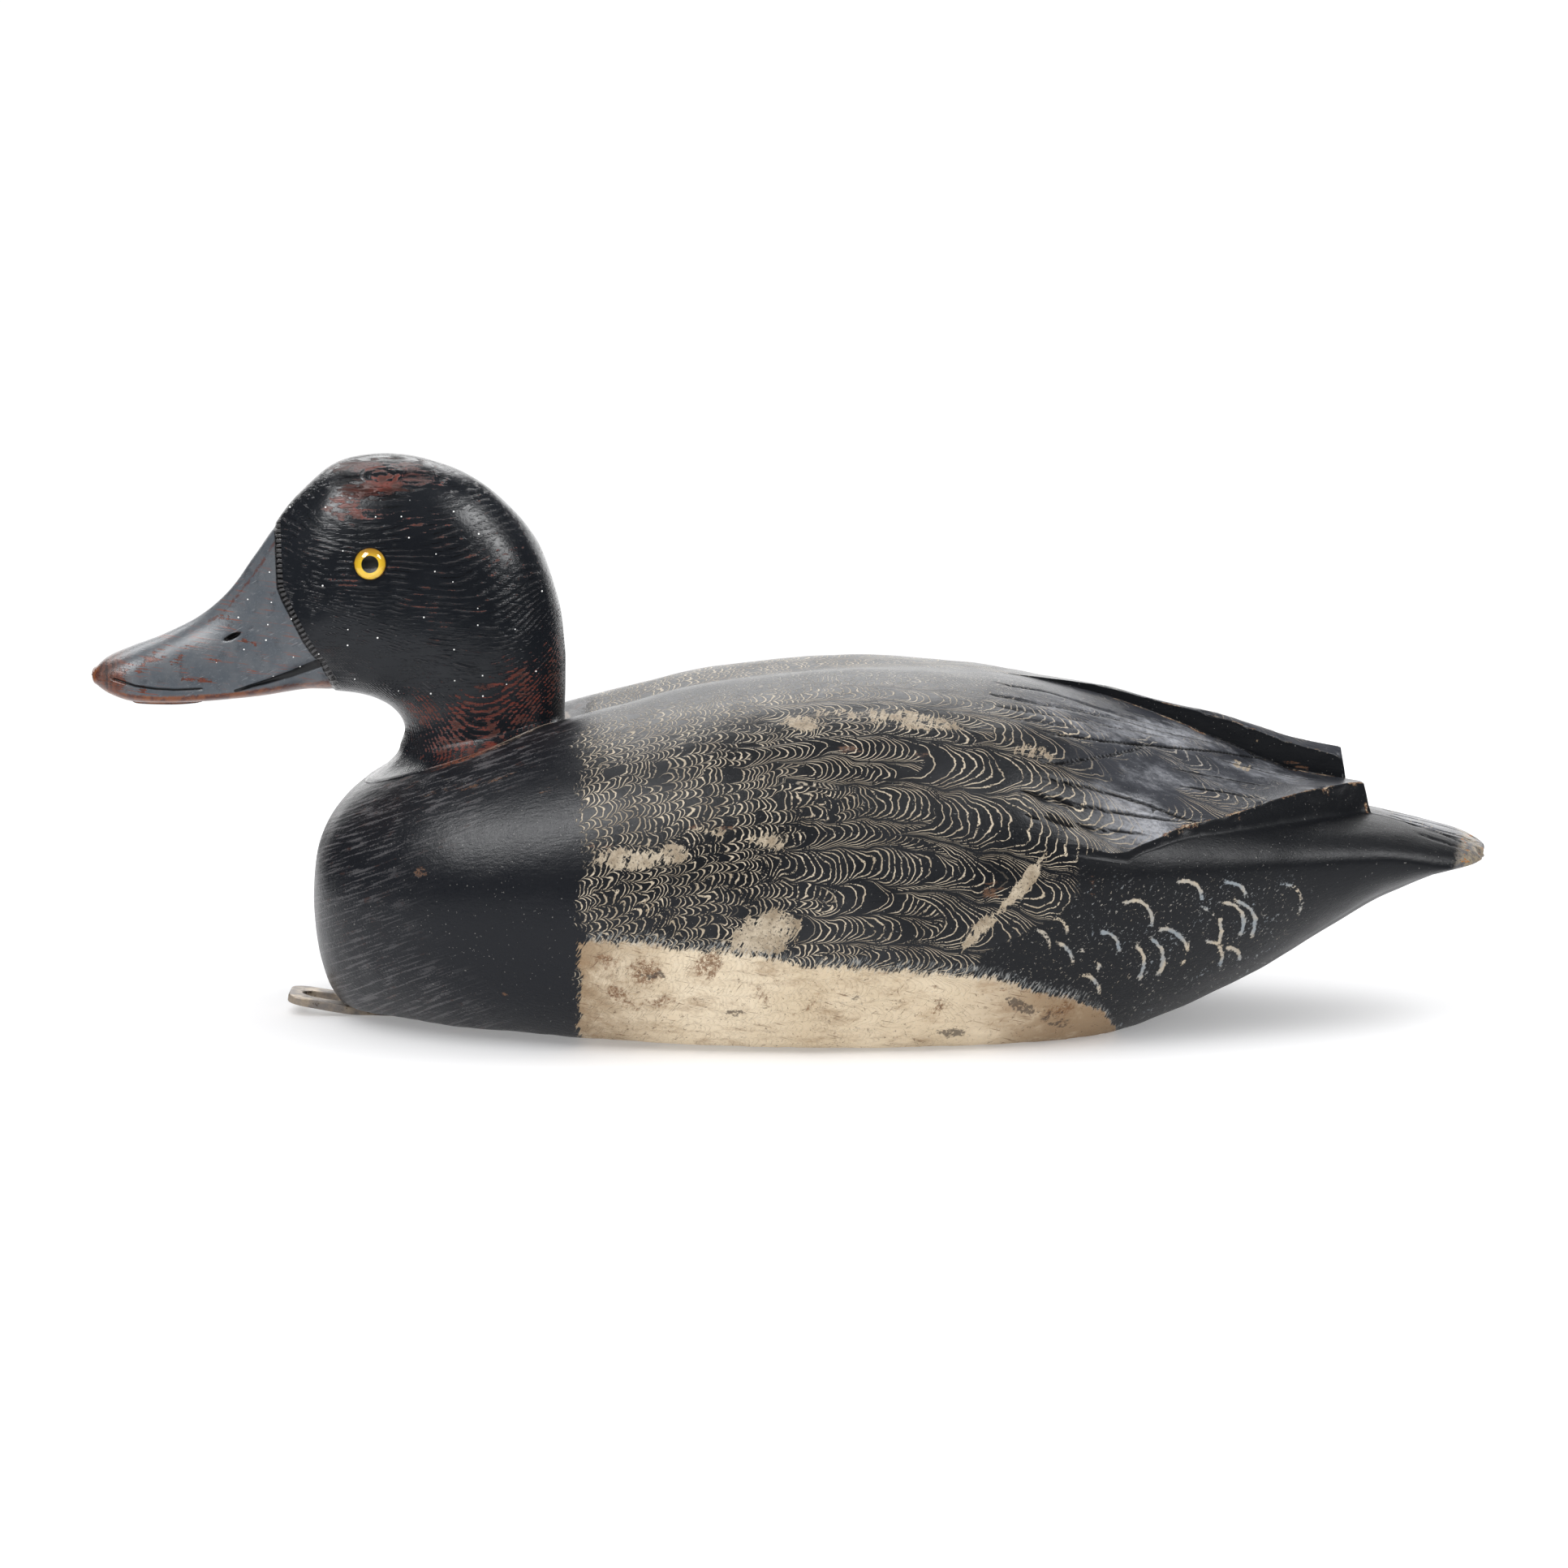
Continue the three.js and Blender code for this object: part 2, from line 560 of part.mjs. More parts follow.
function named(name, geometry, material) {
  const mesh = new THREE.Mesh(geometry, material);
  mesh.name = name;
  return mesh;
}

const decoy = new THREE.Group();
decoy.add(named("body", toGeometry(buildBody()), backPaint));
decoy.add(named("head", toGeometry(buildHead()), blackPaint));
for (const [name, side] of [["left_eye", -1], ["right_eye", 1]]) {
  const eye = named(name, toGeometry(fromGeometry(eyeGeometry(0))), yellowGlass);
  eye.applyMatrix4(eyeMatrix(side));
  decoy.add(eye);
}
decoy.add(named("line_tie", toGeometry(tieSolid()), oldBrass));

export default decoy;
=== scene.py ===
"""A carved and painted drake bluebill decoy: one wooden body, one wooden head, glass eyes, a metal line tie.

Shapes are worked out in millimetres and put into the meshes in metres. The bill points to -X,
the bird's left side faces -Y and +Z is up. "Seen" places are where something shows on the
middle plane when the decoy is looked at from its left side, 8 degrees above level.
"""
import math
from types import SimpleNamespace

import bpy
import numpy as np
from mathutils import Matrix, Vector


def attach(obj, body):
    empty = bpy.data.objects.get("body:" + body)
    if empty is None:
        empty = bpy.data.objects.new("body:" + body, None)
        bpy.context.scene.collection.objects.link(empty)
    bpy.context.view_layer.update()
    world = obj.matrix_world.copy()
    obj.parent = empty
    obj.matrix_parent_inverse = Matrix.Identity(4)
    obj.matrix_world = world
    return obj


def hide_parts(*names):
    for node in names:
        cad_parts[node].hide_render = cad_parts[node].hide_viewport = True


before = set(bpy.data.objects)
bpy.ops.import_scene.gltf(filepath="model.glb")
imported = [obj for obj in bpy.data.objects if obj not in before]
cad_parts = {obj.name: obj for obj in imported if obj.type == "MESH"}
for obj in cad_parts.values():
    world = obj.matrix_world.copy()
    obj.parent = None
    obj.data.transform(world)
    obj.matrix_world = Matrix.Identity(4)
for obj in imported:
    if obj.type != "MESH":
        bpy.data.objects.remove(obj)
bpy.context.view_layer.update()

bl_info = {
    "name": "Bluebill decoy",
    "version": (1, 0, 0),
    "blender": (4, 5, 0),
    "location": "View3D > Sidebar > Decoy",
    "description": "Makes a carved and painted drake bluebill decoy on its frame",
    "category": "Add Mesh",
}

MM = 0.001
UV_PER_METRE = 10

# The view that seen places are taken from
VIEW_DISTANCE = 1450.0
VIEW_TILT = math.radians(8.0)
VIEW_X = -1.3
VIEW_Z = 60.8
LENS = 125.86
SENSOR = 36.0

# Ends of the carvings, and where the neck's foot seam starts to show bare wood
BILL_TIP = (-184.0, 0.0, 90.0)
BREAST_X = -125.6
TAIL_X = 184.0
BODY_LENGTH = TAIL_X - BREAST_X
NECK_SEAM_X = -92.0

# Glass eyes and the line tie
EYE_X = -108.4
EYE_Z = 121.6
EYE_RADIUS = 4.1
EYE_DOME = 2.6
EYE_SUNK = 0.24
TIE_WIDTH = 19.0
TIE_THICKNESS = 2.2
TIE_BEND_X = -113.5
TIE_BACK_X = -88.0
TIE_REACH = 19.5
TIE_RISE = math.radians(9.5)
REST_BACK_X = 90.0
BOTTOM_SLOPE = 2.5 / 178.0


def body_share(x):
    """Where x lies along the body, on an arc-cosine scale that is fine at both rounded ends."""
    share = np.clip((np.asarray(x, float) - BREAST_X) / BODY_LENGTH, 0, 1)
    return np.arccos(1 - 2 * share) / np.pi


def curve_through(pairs, scale=np.asarray):
    """A monotone cubic curve through [position, value] pairs: slopes are harmonic means."""
    at = scale(np.array([p[0] for p in pairs], float))
    value = np.array([p[1] for p in pairs], float)
    rise = np.diff(value) / np.diff(at)
    before, after = rise[:-1], rise[1:]
    total = np.where(before + after == 0, 1, before + after)
    inner = np.where(before * after <= 0, 0, 2 * before * after / total)
    slope = np.concatenate([rise[:1], inner, rise[-1:]])

    def value_at(x):
        s = np.clip(scale(np.asarray(x, float)), at[0], at[-1])
        i = np.clip(np.searchsorted(at, s, side="left") - 1, 0, len(at) - 2)
        width = at[i + 1] - at[i]
        t = (s - at[i]) / width
        return (
            (2 * t**3 - 3 * t**2 + 1) * value[i]
            + (t**3 - 2 * t**2 + t) * width * slope[i]
            + (3 * t**2 - 2 * t**3) * value[i + 1]
            + (t**3 - t**2) * width * slope[i + 1]
        )

    return value_at


def body_curve(pairs):
    """A profile of the body along its length, through [x, size] pairs."""
    return curve_through(pairs, body_share)


half_width = body_curve([
    [-125.6, 0], [-123, 24], [-112, 43], [-85, 62], [-40, 73.5], [5, 76],
    [50, 73], [87, 65], [114, 53], [135, 41.5], [155, 33], [173, 27], [181, 18], [184, 0],
])
widest_z = body_curve([
    [-125.6, 31], [-110, 35], [-70, 39], [40, 42], [100, 45], [153, 45], [172, 42.6], [184, 44.6],
])
back_z = body_curve([
    [-125.6, 31], [-124.3, 44.8], [-120.6, 53.4], [-112.2, 62.1], [-98, 71], [-75, 77.8],
    [-46, 85.9], [-16, 92.2], [18, 94.8], [45, 92.6], [82, 84.9], [113, 73.8], [133, 65.6],
    [151, 61.8], [184, 44.4],
])
rump_z = body_curve([
    [-125.6, 60], [87, 68], [114, 62.2], [131, 58.4], [157, 53.5], [172, 49.9], [182, 46.4], [184, 44.4],
])
belly_rise = body_curve([
    [-125.6, 31], [-124, 12.6], [-120.6, 4], [-117, 0.8], [-112, 0], [89, 0],
    [102, 2.4], [114, 7], [126, 12.8], [143, 23.2], [157, 31.4], [173, 38.2], [184, 44.4],
])
base_half_width = body_curve([
    [-125.6, 0], [-120, 9], [-112, 18], [-100, 28], [-86, 38], [-58, 50], [-30, 57.5], [0, 61],
    [45, 55.5], [70, 46], [85, 36], [96, 28], [112, 22], [130, 18], [152, 16], [173, 14], [184, 0],
])
belly_round = body_curve([[-125.6, 0], [60, 0], [80, 0.5], [96, 2.5], [116, 4], [140, 4], [184, 0]])
groove_depth = body_curve([
    [-125.6, 0], [-104, 0], [-84, 4], [-59, 6], [-16, 3.8], [18, 2.8], [45, 0.8], [62, 0], [184, 0],
])
GROOVE_WIDTH = 14.0
BACK_LATERAL_POWER = 2.2

# Wings: the tips stand up from the rump, and the right tip lies over the left.
WING_START_X = 55.0
RUMP_START_X = 66.0
WING_FULL_X = 96.0
LEFT_TIP_X = 153.5
RIGHT_TIP_X = 148.0
TIP_BLUNTNESS = 2.4
wing_edge_y = body_curve([
    [-125.6, 0], [-112, 30], [-60, 50], [20, 66], [60, 68], [80, 66], [91, 60], [101, 52.5],
    [114, 43], [131, 27.5], [143, 16],
    [152, 6.5], [160, 8], [172, 12], [184, 0],
])
wing_fall = body_curve([[-125.6, 2.2], [58, 2.2], [84, 1.9], [104, 1.4], [125, 1.25], [184, 1.25]])
wing_wall = body_curve([
    [-125.6, 0], [74, 0], [87, 0.6], [98, 1.9], [114, 3.6], [131, 6.4], [147, 7.6], [184, 7.6],
])
overlap_lift = body_curve([
    [-125.6, 0], [55, 0], [82, 2.2], [98, 3.5], [113, 6], [133, 7.8], [184, 7.6],
])
meeting_y = body_curve([[-125.6, 0], [55, 0], [100, -2], [145, -4], [165, 0], [184, 0]])


def smooth(value, low, high):
    """The smooth step from 0 at low to 1 at high."""
    t = np.clip((value - low) / (high - low), 0, 1)
    return t * t * (3 - 2 * t)


def mix(a, b, share):
    """The straight mixture of a and b."""
    return a + (b - a) * share


def belly_z(x):
    """The bottom line: a plane that falls to the back, and the rise of the breast and tail."""
    return np.maximum(0, REST_BACK_X - x) * BOTTOM_SLOPE + belly_rise(x)


def plain_back_z(x, y, top):
    """The back without wings: a superellipse over the widest line, less the middle groove."""
    across = np.minimum(1, np.abs(y) / half_width(x))
    arch = np.sqrt(np.maximum(0, 1 - across**BACK_LATERAL_POWER))
    groove = groove_depth(x) * np.exp(-((y / GROOVE_WIDTH) ** 2))
    return widest_z(x) + (top - widest_z(x)) * arch - groove


def rump_surface_z(x, y):
    """The rump and flanks that the wings lie on."""
    top = mix(back_z(x), rump_z(x), smooth(x, RUMP_START_X, WING_FULL_X))
    return plain_back_z(x, y, top)


def wing_surface_z(x, y, side):
    """The top of a wing: highest where the wings meet, falling by a power to its outer edge."""
    edge = wing_edge_y(x)
    share = smooth(x, WING_START_X, WING_FULL_X)
    tip_x = RIGHT_TIP_X if side > 0 else LEFT_TIP_X
    tip = 1 - smooth(x, tip_x - TIP_BLUNTNESS, tip_x)
    edge_z = rump_surface_z(x, edge) + wing_wall(x)
    out = np.minimum(1, np.abs(y) / edge)
    folded = mix(back_z(x), edge_z, out ** wing_fall(x))
    lift = overlap_lift(x) * (1 - out) if side > 0 else 0
    wing = mix(plain_back_z(x, y, back_z(x)), folded, share) + lift
    return mix(rump_surface_z(x, y), wing, tip)


# How finely a half section is drawn
WING_COLUMNS = 98
WING_EDGE_COLUMNS = 10
WALL_COLUMNS = 9
FLANK_COLUMNS = 22
SIDE_COLUMNS = 24
EDGE_COLUMNS = 6
BASE_COLUMNS = 7
MEETING_COLUMNS = 8
BODY_RINGS = 258
END_INSET = 0.006
WING_DENSITY = 1.3
WALL_LEAN = 0.9
WING_WIDEST_SHARE = 0.97
FLANK_WIDEST_SHARE = 0.985
WALL_SPREAD = 0.3
SIDE_SWEEP = math.radians(66)
EDGE_ROUND = 2.2


def body_stations():
    """Ring places: even on the fine-ended scale, and denser by a smooth bump along the wings."""
    scale = np.linspace(END_INSET, 1 - END_INSET, 4000)
    x = BREAST_X + BODY_LENGTH * (1 - np.cos(np.pi * scale)) / 2
    density = 1 + WING_DENSITY * smooth(x, 45, 62) * (1 - smooth(x, 156, 164))
    run = np.concatenate([[0], np.cumsum((density[1:] + density[:-1]) / 2)])
    return np.interp(np.linspace(0, run[-1], BODY_RINGS), run, x)


def bezier(t, *points):
    """A Bezier curve of four points at t, each point a pair of arrays."""
    weights = ((1 - t) ** 3, 3 * t * (1 - t) ** 2, 3 * t * t * (1 - t), t**3)
    return [sum(w * p[k] for w, p in zip(weights, points)) for k in (0, 1)]


def half_section(x, side):
    """Columns of half a section at the ring places x, from the wings' meeting to the bottom's middle.

    The wing's top, a wall that falls from its edge along a Bezier curve with a fillet at its foot,
    the flank on a superellipse, the side on a sweep of 66 degrees, a rounded edge and the bottom.
    """
    x = x[:, None]
    width = half_width(x)
    edge = np.minimum(wing_edge_y(x), width * WING_WIDEST_SHARE)
    inner = meeting_y(x) + 0.4 if side > 0 else -meeting_y(x)
    near_edge = 1 - 0.03 * (1 - np.linspace(0, 1, WING_EDGE_COLUMNS + 1)[1:]) ** 2
    share = np.concatenate([np.linspace(0, 0.97, WING_COLUMNS), near_edge])[None, :]
    wing_y = mix(inner, edge, share)
    parts = [(wing_y, wing_surface_z(x, side * wing_y, side))]
    lean = WALL_LEAN + WALL_SPREAD * wing_wall(x) * smooth(x, 60, 100)
    foot_y = np.minimum(edge + lean, width * FLANK_WIDEST_SHARE)
    foot_z = rump_surface_z(x, foot_y)
    top_z = wing_surface_z(x, side * edge, side)
    fall = top_z - foot_z
    step = foot_y - edge
    t = (np.arange(1, WALL_COLUMNS + 1) / (WALL_COLUMNS + 1))[None, :]
    wall = bezier(
        t, (edge, top_z), (edge + 0.3 * step, top_z - 0.12 * fall),
        (edge + 0.22 * step, foot_z + 0.1 * fall), (foot_y, foot_z),
    )
    plain_y = edge + step * t
    raised = smooth(x, 66, 84)
    parts.append((mix(plain_y, wall[0], raised), mix(rump_surface_z(x, plain_y), wall[1], raised)))
    start = np.arcsin(foot_y / width)
    angle = mix(start, np.pi / 2, np.linspace(0, 1, FLANK_COLUMNS)[None, :])
    flank_y = width * np.sin(angle)
    parts.append((flank_y, rump_surface_z(x, flank_y)))
    base = base_half_width(x)
    low = belly_z(x) + belly_round(x)
    rounding = np.minimum(EDGE_ROUND, base * 0.3)

    def side_at(turn):
        y = width - (width - base) * (1 - np.cos(turn)) / (1 - math.cos(SIDE_SWEEP))
        z = widest_z(x) - (widest_z(x) - low) * np.sin(turn) / math.sin(SIDE_SWEEP)
        return y, z

    def bottom_at(y):
        return belly_z(x) + belly_round(x) * (y / base) ** 2

    last = SIDE_SWEEP * (1 - rounding / widest_z(x))
    parts.append(side_at(last * (np.arange(1, SIDE_COLUMNS + 1) / SIDE_COLUMNS)[None, :]))
    corner_y, corner_z = side_at(last)
    t = (np.arange(1, EDGE_COLUMNS + 1) / EDGE_COLUMNS)[None, :]
    flat = base - rounding
    edge_y = (1 - t) ** 2 * corner_y + 2 * t * (1 - t) * base + t * t * flat
    edge_z = (1 - t) ** 2 * corner_z + 2 * t * (1 - t) * bottom_at(base) + t * t * bottom_at(flat)
    parts.append((edge_y, edge_z))
    base_y = flat * (1 - (np.arange(1, BASE_COLUMNS + 1) / (BASE_COLUMNS + 1))[None, :])
    parts.append((base_y, bottom_at(base_y)))
    y = np.concatenate([np.broadcast_to(p[0], (len(x), p[0].shape[1])) for p in parts], axis=1)
    z = np.concatenate([np.broadcast_to(p[1], (len(x), p[1].shape[1])) for p in parts], axis=1)
    kinds = np.repeat(np.arange(len(parts)), [p[0].shape[1] for p in parts])
    return side * y, z, kinds


WING, WALL, FLANK, SIDE, EDGE, BOTTOM, MEETING = range(7)


def body_grid():
    """The body's rings: left half, middle of the bottom, right half back up, and the wings' meeting."""
    x = body_stations()
    left_y, left_z, kinds = half_section(x, -1)
    right_y, right_z, _ = half_section(x, 1)
    right_y, right_z = right_y[:, ::-1], right_z[:, ::-1]
    t = (np.arange(1, MEETING_COLUMNS + 1) / (MEETING_COLUMNS + 1))[None, :]
    top = (right_y[:, -1:], right_z[:, -1:])
    foot = (left_y[:, :1], left_z[:, :1])
    drop = top[1] - foot[1]
    below_top = (top[0] - 0.15, top[1] - 0.1 * drop)
    above_foot = (foot[0] + 0.2, foot[1] + 0.1 * drop)
    meet_y, meet_z = bezier(t, top, below_top, above_foot, foot)
    low = belly_z(x)[:, None]
    y = np.concatenate([left_y, 0 * low, right_y, meet_y], axis=1)
    z = np.concatenate([left_z, low, right_z, meet_z], axis=1)
    kinds = np.concatenate([kinds, [BOTTOM], kinds[::-1], np.full(MEETING_COLUMNS, MEETING)])
    points = np.stack([np.broadcast_to(x[:, None], y.shape), y, z], axis=-1)
    return points, kinds


def seen(points):
    """Where points show from the side, in mm on the middle plane; the far side is its mirror image."""
    x, z = points[..., 0], points[..., 2]
    y = -np.abs(points[..., 1])
    depth = VIEW_DISTANCE + y * math.cos(VIEW_TILT) - (z - VIEW_Z) * math.sin(VIEW_TILT)
    along = VIEW_X + VIEW_DISTANCE * (x - VIEW_X) / depth
    rise = y * math.sin(VIEW_TILT) + (z - VIEW_Z) * math.cos(VIEW_TILT)
    return along, VIEW_Z + VIEW_DISTANCE * rise / (depth * math.cos(VIEW_TILT))


def grid_normals(points):
    """Unit normals of a grid closed round its columns: the cross product of its two slopes."""
    down = np.gradient(points, axis=0)
    wide = np.concatenate([points[:, -1:], points, points[:, :1]], axis=1)
    across = (wide[:, 2:] - wide[:, :-2]) / 2
    normal = np.cross(across, down)
    normal /= np.maximum(np.linalg.norm(normal, axis=-1, keepdims=True), 1e-9)
    centre = points.mean(axis=1, keepdims=True)
    outward = np.sum(normal * (points - centre), axis=-1).mean()
    return normal if outward > 0 else -normal


def wander(points, size, seed, waves=14):
    """Seeded smooth unevenness, about -1 to 1: a sum of sine waves in random directions."""
    chance = np.random.default_rng(seed)
    total = np.zeros(points.shape[:-1])
    for _ in range(waves):
        direction = chance.normal(size=3)
        direction *= chance.uniform(0.6, 1.6) * 2 * np.pi / (size * np.linalg.norm(direction))
        total += np.sin(points @ direction + chance.uniform(0, 2 * np.pi))
    return total / math.sqrt(waves)


def line_distance(a, b, line):
    """Distance in the plane from each (a, b) to a line through points, and the run along it."""
    best = np.full(np.shape(a), np.inf)
    run_at = np.zeros(np.shape(a))
    run = 0.0
    for (a0, b0), (a1, b1) in zip(line[:-1], line[1:]):
        length = math.hypot(a1 - a0, b1 - b0)
        t = np.clip(((a - a0) * (a1 - a0) + (b - b0) * (b1 - b0)) / length**2, 0, 1)
        miss = np.hypot(a - a0 - t * (a1 - a0), b - b0 - t * (b1 - b0))
        run_at = np.where(miss < best, run + t * length, run_at)
        best = np.minimum(best, miss)
        run += length
    return best, run_at


def oval_distance(a, b, a0, b0, length, height, tilt):
    """Signed distance, about, outside an oval of the given half sizes."""
    turn = math.radians(tilt)
    along = ((a - a0) * math.cos(turn) + (b - b0) * math.sin(turn)) / length
    over = ((b - b0) * math.cos(turn) - (a - a0) * math.sin(turn)) / height
    return (np.hypot(along, over) - 1) * height


def blobs(a, b, marks):
    """The strongest of several soft patches, each (a, b, half length, half height, tilt, strength)."""
    total = np.zeros(np.shape(a))
    for a0, b0, length, height, tilt, strength in marks:
        turn = math.radians(tilt)
        along = ((a - a0) * math.cos(turn) + (b - b0) * math.sin(turn)) / length
        over = ((b - b0) * math.cos(turn) - (a - a0) * math.sin(turn)) / height
        total = np.maximum(total, strength * np.clip(1.6 - np.hypot(along, over), 0, 1))
    return total


def densify(line, step=1.0):
    """The same line with a point about every step."""
    line = np.array(line, float)
    run = np.concatenate([[0], np.cumsum(np.hypot(*np.diff(line, axis=0).T))])
    at = np.arange(0, run[-1] + step, step)
    return np.stack([np.interp(at, run, line[:, k]) for k in (0, 1)], axis=1)


# Feather cuts on the near wing and the tail, as seen from the side
FEATHER_CUTS = [
    [(67.6, 74.5), (86.9, 72.1), (101.5, 70.6), (113.3, 69.5), (126.2, 67.5)],
    [(63.9, 66.0), (72.1, 66.4), (86.9, 68.8), (95.1, 71.2)],
    [(68.4, 62.3), (79.0, 60.1), (88.6, 57.3), (98.3, 53.9), (107.9, 50.8)],
    [(61.1, 59.3), (74.9, 55.6), (89.7, 52.8), (103.2, 50.8)],
    [(61.8, 52.6), (72.7, 50.4), (81.3, 48.7), (95.1, 47.4)],
    [(103.2, 60.4), (113.3, 59.1), (124.0, 57.1)],
    [(97.0, 56.0), (95.7, 51.5)],
    [(53.6, 87.7), (68.2, 85.3), (80.0, 81.6), (91.8, 78.1), (104.7, 74.5)],
    [(52.1, 84.9), (68.2, 82.0), (85.4, 78.6), (100.4, 74.5), (113.3, 71.6)],
    [(54.3, 81.6), (70.4, 79.4), (87.5, 75.8), (102.6, 72.9)],
    [(57.5, 78.6), (72.5, 76.6), (83.3, 74.7)],
    [(87.5, 81.2), (102.6, 76.6), (119.7, 71.4), (134.8, 66.4)],
    [(113.3, 67.5), (126.2, 64.3), (136.9, 62.1)],
    [(100.4, 65.4), (117.6, 61.9), (128.3, 60.4)],
]
CUT_STRENGTHS = [1.0, 0.8, 0.9, 0.9, 0.8, 0.7, 0.8, 0.55, 0.6, 0.5, 0.45, 0.6, 0.5, 0.5]
TAIL_CUTS = [
    [(159.7, 54.3), (169.5, 51.5), (181.3, 47.4)],
    [(158.4, 52.6), (169.1, 49.5), (180.3, 45.8)],
    [(162.7, 50.8), (171.2, 48.2), (179.4, 44.5)],
    [(165.9, 47.4), (173.4, 45.4), (177.7, 43.7)],
]
CUT_WIDTH = 0.45

# Edges of the paints, as seen from the side
BREAST_EDGE = -54.0
PANEL_FRONT = -55.5
PANEL_TOP = [
    (-60.0, 16.4), (-49.8, 18.8), (-32.6, 17.5), (-15.5, 15.5), (6.0, 12.7), (18.9, 11.4),
    (53.0, 9.4), (64.8, 5.3), (77.0, 3.2), (83.3, -0.1), (85.8, -3.3), (90.0, -12.0),
]
COMB_END = [
    (-20.0, 46.0), (10.1, 48.9), (15.3, 50.6), (20.9, 62.2), (31.1, 77.2), (41.3, 75.7), (45.8, 90.5),
    (60.0, 96.0),
]

# Rubbed and scraped places on the body: a, b, half length, half height, tilt and strength, in mm
# on the seen plane and degrees
CREAM_PATCHES = [
    (-40.1, 40.9, 12, 3.4, 3, 1.15), (-29.8, 42.6, 4, 3, 0, 1.0), (-21.9, 48.2, 6, 1.8, -8, 0.9),
    (-5.0, 45.6, 7, 2.8, -8, 0.95), (-7.0, 20.5, 9.0, 5.4, 24, 1.4), (-14.0, 17.0, 7, 3, 10, 1.05),
    (3.6, 77.1, 6, 2.4, -10, 1.05), (31.7, 77.9, 15, 2.8, -6, 0.95), (14.0, 79.5, 10, 1.6, -6, 0.85),
    (62.0, 34.0, 9.5, 1.8, 52, 1.4), (50.5, 21.6, 8.5, 2.0, 46, 1.3), (-43.0, 31.0, 13, 11, 0, 0.45),
    (119.7, 65.8, 4, 1.4, -10, 0.8), (65.7, 69.3, 9, 2.4, -8, 0.7), (58, 70.5, 12, 3, -4, 0.5),
    (-52.0, 69.5, 5, 5, -60, 0.6),
]
BROWN_PATCHES = [
    (54.0, 32.4, 3.6, 2.6, 20, 0.75), (80.2, 33.1, 1.8, 3.4, 0, 0.6), (-20, 49, 9, 2, -4, 0.6),
    (-97.4, 37.2, 2.2, 1.2, 10, 0.9), (-75.9, 5.1, 1.2, 0.8, 0, 1.0), (111, 3.6, 1.2, 0.9, 20, 1.1),
    (-94, 58.5, 5, 0.8, 18, 0.72), (-104.6, 56.0, 3, 0.9, 18, 0.5), (-62, 60, 7, 2.0, 15, 0.4),
    (18.0, 69.5, 7, 1.6, -5, 0.6), (-47.0, 44.5, 8, 1.6, 5, 0.6), (33.0, 68.5, 5, 2.0, 0, 0.55),
    (-75.4, 62.5, 6, 0.7, 18, 0.68), (-84.0, 60.0, 4, 0.7, 18, 0.66), (134, 66.0, 5, 1.0, -12, 0.8),
]
SMUDGES = [
    (43.1, -5.7, 4, 1.2, 0, 1.0), (-34.8, 10.1, 4, 1.0, 8, 0.8), (62, 1.3, 7, 1.6, -25, 0.8),
    (18, 4, 5, 2, 30, 0.45), (-12, 0, 10, 1.2, 2, 0.6), (30, 1.0, 4, 1, 10, 0.5),
    (-44, 11, 5, 2.0, 20, 0.55), (70, -2, 6, 2.5, -20, 0.6),
]
RUST_STAINS = [
    (-38.0, 10.5, 5.0, 3.4, 10, 1.0), (-21.0, 12.5, 4.6, 3.4, 40, 1.05), (-45.0, 4.0, 6, 2, -35, 0.9),
    (-48.0, 13.0, 4, 2.4, 0, 0.8), (-35.0, 2.5, 5, 1.6, 0, 0.7), (-8.0, 5.0, 3, 3, 0, 0.7),
    (5.0, 3.0, 4, 2.5, 0, 0.55), (40.0, 2.0, 5, 2, 20, 0.6), (72.0, 0.0, 5, 3, 0, 0.7),
]
# Scales brushed on the rear flank: a, b, radius, first and last angle, strength. The three groups
# are taken in turn, so that no scale is hidden in another of its own group.
SCALE_ARCS = [
    (87.8, 12.8, 6.2, -42, 50, 0.9), (92.7, 14.2, 6.4, -42, 62, 0.95), (99.5, 16.5, 5.6, -38, 105, 1.0),
    (107.9, 21.7, 6.4, -34, 75, 0.95), (115.3, 23.7, 5.2, -40, 95, 1.0), (117.8, 23.7, 5.7, -38, 88, 1.0),
    (91.1, 24.4, 5.1, -18, 122, 1.0), (104.6, 29.8, 5.0, 0, 112, 0.85), (110.0, 14.2, 4.6, -30, 90, 0.7),
    (116.7, 14.2, 2.6, -10, 115, 0.9), (71.0, 14.0, 4.0, -20, 95, 0.65), (83.0, 17.0, 4.5, -20, 100, 0.8),
    (116.0, 29.8, 5.2, 5, 98, 0.8), (130.0, 29.0, 5.5, -35, 90, 0.5), (77.7, 12.2, 4.2, -20, 100, 0.8),
    (70.0, 21.0, 3.6, 0, 100, 0.6), (78.0, 5.5, 4.0, -10, 100, 0.7), (65.0, 18.0, 3.8, -10, 90, 0.6),
]
SCALE_GROUPS = 3
# Pale patches on the wings and tail, partly dusty and partly painted sheen where they catch the light.
WING_DUST_AND_SHEEN = [
    (86.0, 51.5, 17, 6.5, -20, 1.25), (66.0, 57.0, 12, 5, -10, 1.0), (75.0, 79.0, 22, 5, -14, 0.55),
    (104.0, 62.0, 16, 4, -8, 0.5), (55.0, 66.0, 14, 5, 0, 0.8), (100.0, 74.0, 14, 3.0, -14, 0.8),
    (166.0, 53.0, 9, 3.5, -20, 0.7), (126.0, 64.0, 12, 2.0, -14, 0.6),
]


